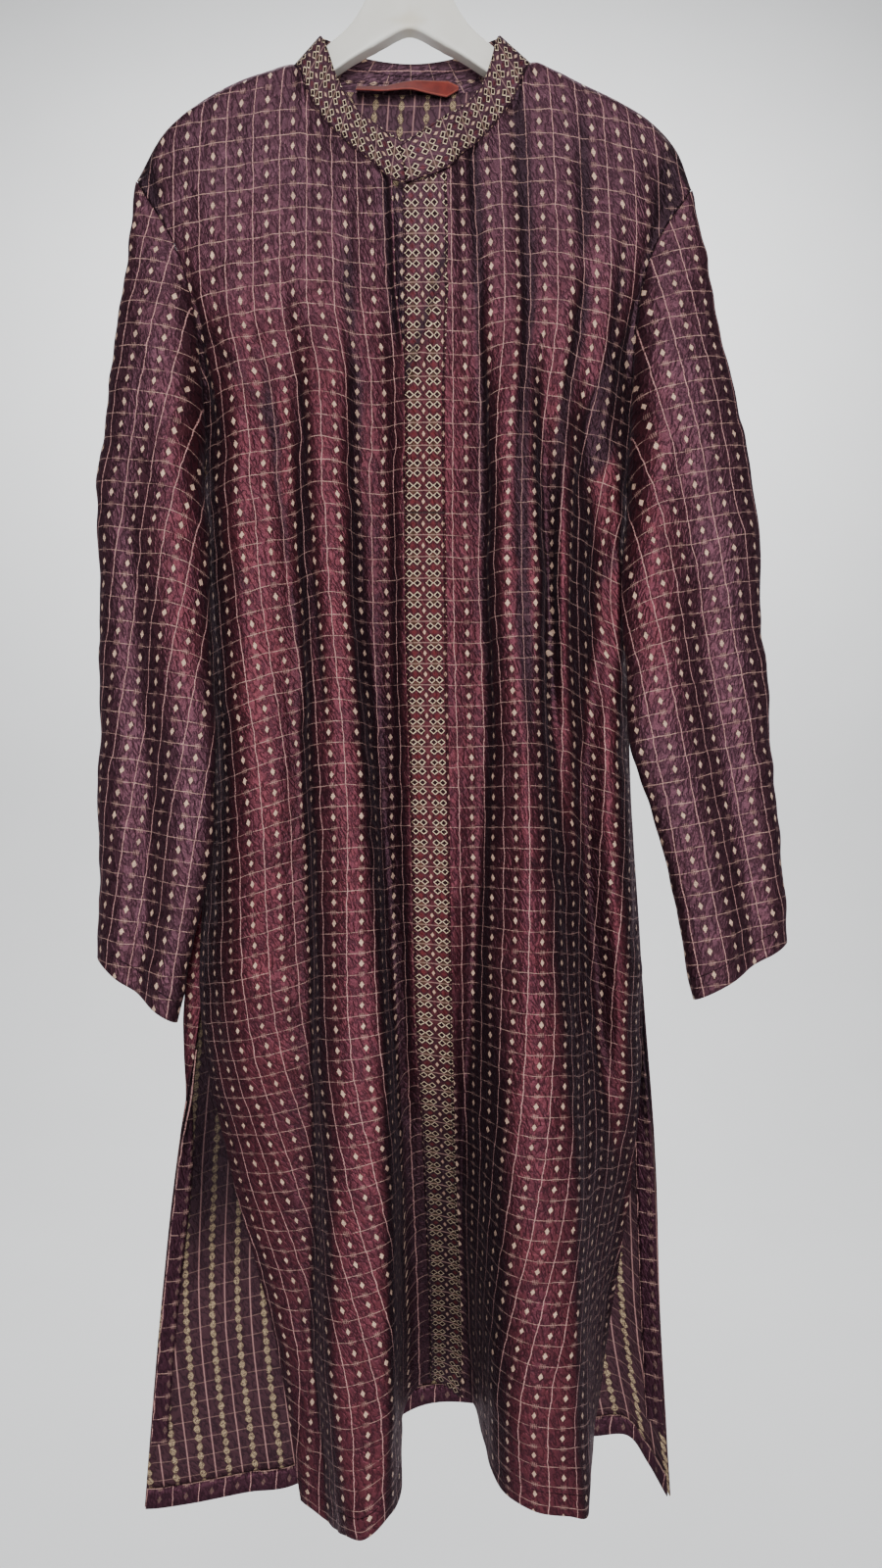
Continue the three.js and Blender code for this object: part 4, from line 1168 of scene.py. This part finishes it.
# The same down a sleeve, in millimetres from its outer edge and from the cuff.
SLEEVE_CREASES = {
    -1: [
        (20, 150, 95, 190, 8, 1.2), (10, 250, 90, 300, 9, -1.4), (30, 330, 110, 350, 8, 1.4),
        (20, 395, 100, 385, 7, -1.2), (40, 440, 120, 470, 9, 1.3), (10, 520, 60, 480, 8, 1.0),
    ],
    1: [
        (25, 140, 105, 170, 8, 1.2), (10, 240, 100, 280, 9, -1.4), (35, 320, 115, 350, 8, 1.4),
        (20, 400, 105, 380, 7, -1.2), (40, 450, 120, 470, 9, 1.3), (10, 530, 70, 490, 8, 1.0),
    ],
}


def sleeve_weave(closed, side, down):
    """Fabric coordinates of a sleeve: square to the way the warps lean, and along it."""
    lean = SLEEVE_LEAN[side]
    along = np.array([side * lean, 0, -1]) / math.hypot(lean, 1)
    inward = np.array([-side, 0, -lean]) / math.hypot(lean, 1)
    step = np.diff(closed, axis=1)
    square = step - (step @ along)[..., None] * along
    aside = np.pad(np.cumsum(np.linalg.norm(square, axis=2), axis=1), ((0, 0), (1, 0)))
    middle = closed.shape[1] // 2
    outer = closed[:, middle : middle + 1]
    aside = aside - aside[:, middle : middle + 1] + (outer - outer[:1]) @ inward
    share = abs(np.linspace(-1, 1, closed.shape[1]))[None]
    sag = SLEEVE_SAG * smooth(*SAG_ACROSS, share) * (1 - smooth(*SAG_DOWN, down))
    return layer(aside + SLEEVE_PHASE[side], (closed @ along - sag) * CELL_HIGH / SLEEVE_WEFT)


def sleeve_piece(name, rings, side, materials):
    """A sleeve, one tube that starts and ends at the seam under the arm."""
    rows, around = SLEEVE_SHAPE
    grid = sleeve_grid(rings, side, around, rows)
    closed = np.concatenate([grid, grid[:, :1]], axis=1)
    down, length = steps_between(closed, 0), steps_between(closed, 1)
    up = down[-1:] - down
    uv = sleeve_weave(closed, side, down)
    edge = layer(np.full_like(up, FAR), up)
    # Painted light: weaker painted shade, and a painted grey sheen that a painted lit band clears.
    share = abs(np.linspace(-1, 1, around + 1))[None, :-1]
    lit = np.exp(-(((share - LIT_ACROSS) / LIT_WIDE) ** 2)) * smooth(*LIT_BAND, grid[..., 2])
    form = painted_light_layer(grid, True) * np.array([SLEEVE_SHADE, 1])
    form[..., 1] = np.maximum(form[..., 1], SLEEVE_GREY * (1 - lit))
    x, y = (length - length[:, around // 2, None])[:, :-1], up[:, :-1]
    turns = 2 * math.pi * x / length[:, -1:]
    short, broad = SLEEVE_SEEDS
    relief = ripple(ARM_RADIUS * np.cos(turns), y, short + side, *SLEEVE_PUCKERS)
    relief += ripple(ARM_RADIUS * np.sin(turns), y, broad + side, *SLEEVE_WAVES)
    relief += creases(x, y, SLEEVE_CREASES[side])
    relief *= calm((down[:, :-1], ARMHOLE_CALM))
    grid = grid + side * normals_of(grid, True) * relief[..., None]
    return build_mesh(name, grid, uv, edge, materials, form, ring=True, outward=side)


def collar_piece(materials):
    top = np.array([station[-1] for station in COLLAR_STATIONS], float)
    foot = []
    for (side, u, shift, _), above in zip(COLLAR_STATIONS, top):
        edge = point_on(front if side < 0 else back, u, 0)
        way = (above - edge) / np.linalg.norm(above - edge)
        foot.append(edge - COLLAR_LAP * way + np.array([0, shift + side * COLLAR_OFF, 0]))
    high_steps, round_steps = COLLAR_SHAPE
    t = np.linspace(0, len(top) - 1, round_steps)
    share = np.linspace(0, 1, high_steps)[:, None, None]
    grid = spline(np.array(foot), t)[None] * (1 - share) + spline(top, t)[None] * share
    high = steps_between(grid, 0)
    middle = high_steps // 2
    along = steps_between(grid, 1)[middle : middle + 1] + 0 * high
    edge = layer(to_edge(high, 0), np.full_like(high, FAR))
    outward = 1 if normals_of(grid)[middle, round_steps // 4, 1] < 0 else -1
    uv = layer(high, along)
    return build_mesh("collar_cloth", grid, uv, edge, materials, thick=COLLAR_WALL, outward=outward)


def label_piece(material):
    rows, columns = RIBBON_SHAPE
    x = np.linspace(*LABEL_ENDS, columns)[None]
    tip = np.radians(between(LABEL_TIP, x))
    wide = np.linspace(0, 1, rows)[:, None] * between(LABEL_WIDE, x)
    bow = LABEL_BOW * ((x - 1) / LABEL_ENDS[0]) ** 2
    shape = (x, LABEL_BACK - bow - wide * np.sin(tip), between(LABEL_TOP, x) - wide * np.cos(tip))
    grid = np.stack(np.broadcast_arrays(*shape), axis=2)
    high = steps_between(grid, 0)
    uv, edge = layer(steps_between(grid, 1), high), layer(to_edge(high, 0), high)
    return build_mesh("neck_label_ribbon", grid, uv, edge, [material], thick=RIBBON_WALL)


def loft(name, rings, material):
    """A solid through rings of points, with flat ends."""
    rings = np.asarray(rings)
    count, around = rings.shape[:2]
    faces = []
    for i in range(count - 1):
        for j in range(around):
            a, b = i * around + j, i * around + (j + 1) % around
            faces.append((a, b, b + around, a + around))
    faces += [tuple(range(around))[::-1], tuple(range((count - 1) * around, count * around))]
    return plain_mesh(name, (rings.reshape(-1, 3) * MM).tolist(), faces, material)


def circle(count, start=0.0):
    return 2 * math.pi * (np.arange(count) + start) / count


def hanger_wood(material):
    half = np.array(HANGER_SECTIONS, float)
    left = half[1:][::-1] * np.array([-1, 1, 1, 1])
    count, around = WOOD_SHAPE
    sections = spline(np.concatenate([left, half]), np.linspace(0, 2 * len(half) - 2, count))
    angle = circle(around, 0.5)
    wide, high = (np.sign(way) * abs(way) ** BOARD_CORNER for way in (np.cos(angle), np.sin(angle)))
    rings = [
        np.stack([np.full(around, x), thick * wide, (top + low) / 2 + (top - low) / 2 * high], 1)
        for x, top, low, thick in sections
    ]
    return loft("hanger_wood_painted", rings, material)


def hanger_hook(material):
    count, around = WIRE_SHAPE
    turn = np.radians(np.linspace(*HOOK_ARC, count))
    arc = [HOOK_RADIUS * np.cos(turn), HOOK_CENTRE_Z + HOOK_RADIUS * np.sin(turn), np.full(count, WIRE)]
    line = np.concatenate([np.array(HOOK_FOOT, float), np.stack(arc, 1)])
    way = np.gradient(line[:, :2], axis=0)
    way /= np.linalg.norm(way, axis=1, keepdims=True)
    wide, deep = np.cos(circle(around)), np.sin(circle(around))
    rings = [
        np.stack([x - wz * r * wide, r * deep, z + wx * r * wide], 1)
        for (x, z, r), (wx, wz) in zip(line, way)
    ]
    return loft("hanger_hook_wire", rings, material)


# The garment.

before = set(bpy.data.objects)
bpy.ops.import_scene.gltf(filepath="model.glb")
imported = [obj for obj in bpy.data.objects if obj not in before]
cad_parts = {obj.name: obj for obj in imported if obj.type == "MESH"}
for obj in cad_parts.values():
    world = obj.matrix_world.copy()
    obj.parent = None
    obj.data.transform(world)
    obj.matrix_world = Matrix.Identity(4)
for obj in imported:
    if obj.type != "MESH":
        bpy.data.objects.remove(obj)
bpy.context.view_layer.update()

SILK = silk("silk_outer")
# A darker copy of the outer silk: painted shade on the collar's inner face and the placket underlap.
SILK_FACING_SHADED = silk("silk_facing_painted_shade", FACING_PAINTED_SHADE, FACING_PAINTED_SHADE, INSIDE_CRACK_SHADE)
# A darker copy of the outer silk with few lozenges: painted shade on the turned edges inside.
SILK_TURN_SHADED = silk("silk_turned_back_painted_shade", TURNED_BACK_SHADE, TURNED_BACK_SHADE, lozenges=0.15)
SILK_INSIDE = silk_inside("silk_wrong_side")
BROCADE = brocade("brocade_border")

made = {
    "front_left": (front_piece("front_left_cloth", -1, [SILK, SILK_INSIDE]), "silk"),
    "front_right": (front_piece("front_right_cloth", 1, [SILK, SILK_INSIDE]), "silk"),
    "front_border": (border_piece([BROCADE]), "brocade"),
    "placket_underlap": (underlap_piece([SILK_FACING_SHADED]), "silk"),
    "back": (back_piece([SILK, SILK_INSIDE]), "silk_inside"),
    "back_hem_turn": (back_hem_turn([SILK_TURN_SHADED]), "silk"),
    "back_slit_turn_left": (back_slit_turn("left", 0.05, 1, [SILK_TURN_SHADED]), "silk"),
    "back_slit_turn_right": (back_slit_turn("right", BACK_LAST - 1, BACK_LAST - 0.05, [SILK_TURN_SHADED]), "silk"),
    "sleeve_left": (sleeve_piece("sleeve_left_cloth", SLEEVE_LEFT, -1, [SILK, SILK_INSIDE]), "silk"),
    "sleeve_right": (sleeve_piece("sleeve_right_cloth", SLEEVE_RIGHT, 1, [SILK, SILK_INSIDE]), "silk"),
    "collar": (collar_piece([BROCADE, SILK_FACING_SHADED]), "brocade"),
    "neck_label": (label_piece(ribbon("ribbon_rust")), "ribbon"),
    "hanger_wood": (hanger_wood(white_paint("paint_white")), "painted_wood"),
    "hanger_hook": (hanger_hook(steel_wire("wire_steel")), "wire"),
}
for node, (obj, slot) in made.items():
    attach(obj, "root")
    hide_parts(node)


# Stage, in metres: a pale floor that curves up far behind, soft lights, and the photograph's camera.

FLOOR_Z = -1.9
FLOOR_NEAR = -5.0
FLOOR_SIDE = 7.0
WALL_Y = 3.4
WALL_TOP = 4.0
CURVE = 1.2
CURVE_STEPS = 16
# Name, place, what it aims at, size and watts.
LIGHTS = [
    ("key", (0.1, -2.4, -0.15), (0.0, 0.0, -0.6), (0.5, 2.0), 66),
    ("top", (0.0, -0.7, 1.5), (0.0, 0.0, -0.5), (1.2, 0.6), 12),
    ("backdrop", (0.0, 1.3, 1.6), (0.0, 3.4, -0.9), (3.0, 0.8), 190),
]
SKY = (0.86, 0.88, 0.9, 1)
SKY_STRENGTH = 0.2


def sweep_floor(material):
    profile = [(FLOOR_NEAR, FLOOR_Z)]
    for k in range(CURVE_STEPS + 1):
        a = math.pi / 2 * k / CURVE_STEPS
        profile.append((WALL_Y - CURVE + CURVE * math.sin(a), FLOOR_Z + CURVE - CURVE * math.cos(a)))
    profile.append((WALL_Y, WALL_TOP))
    verts = [(x, y, z) for y, z in profile for x in (-FLOOR_SIDE, FLOOR_SIDE)]
    faces = [(2 * i, 2 * i + 1, 2 * i + 3, 2 * i + 2) for i in range(len(profile) - 1)]
    return plain_mesh("floor", verts, faces, material)


def area_light(name, place, aim, size, watts):
    data = bpy.data.lights.new(name, "AREA")
    data.shape = "RECTANGLE"
    data.size, data.size_y = size
    data.energy = watts
    obj = add_object(name, data)
    obj.location = place
    way = np.array(aim) - np.array(place)
    obj.rotation_euler = (math.atan2(math.hypot(way[0], way[1]), -way[2]), 0, -math.atan2(way[0], way[1]))


sweep_floor(pale_floor("floor_pale"))
for light in LIGHTS:
    area_light(*light)

world = bpy.data.worlds.new("studio")
world.use_nodes = True
sky = world.node_tree.nodes["Background"].inputs
sky["Color"].default_value = SKY
sky["Strength"].default_value = SKY_STRENGTH
bpy.context.scene.world = world

camera_data = bpy.data.cameras.new("camera")
camera_data.lens = LENS_MM
camera_data.sensor_width = SENSOR_MM
camera = add_object("camera", camera_data)
camera.location = CAMERA_PLACE
camera.rotation_euler = (math.pi / 2, 0, 0)
bpy.context.scene.camera = camera
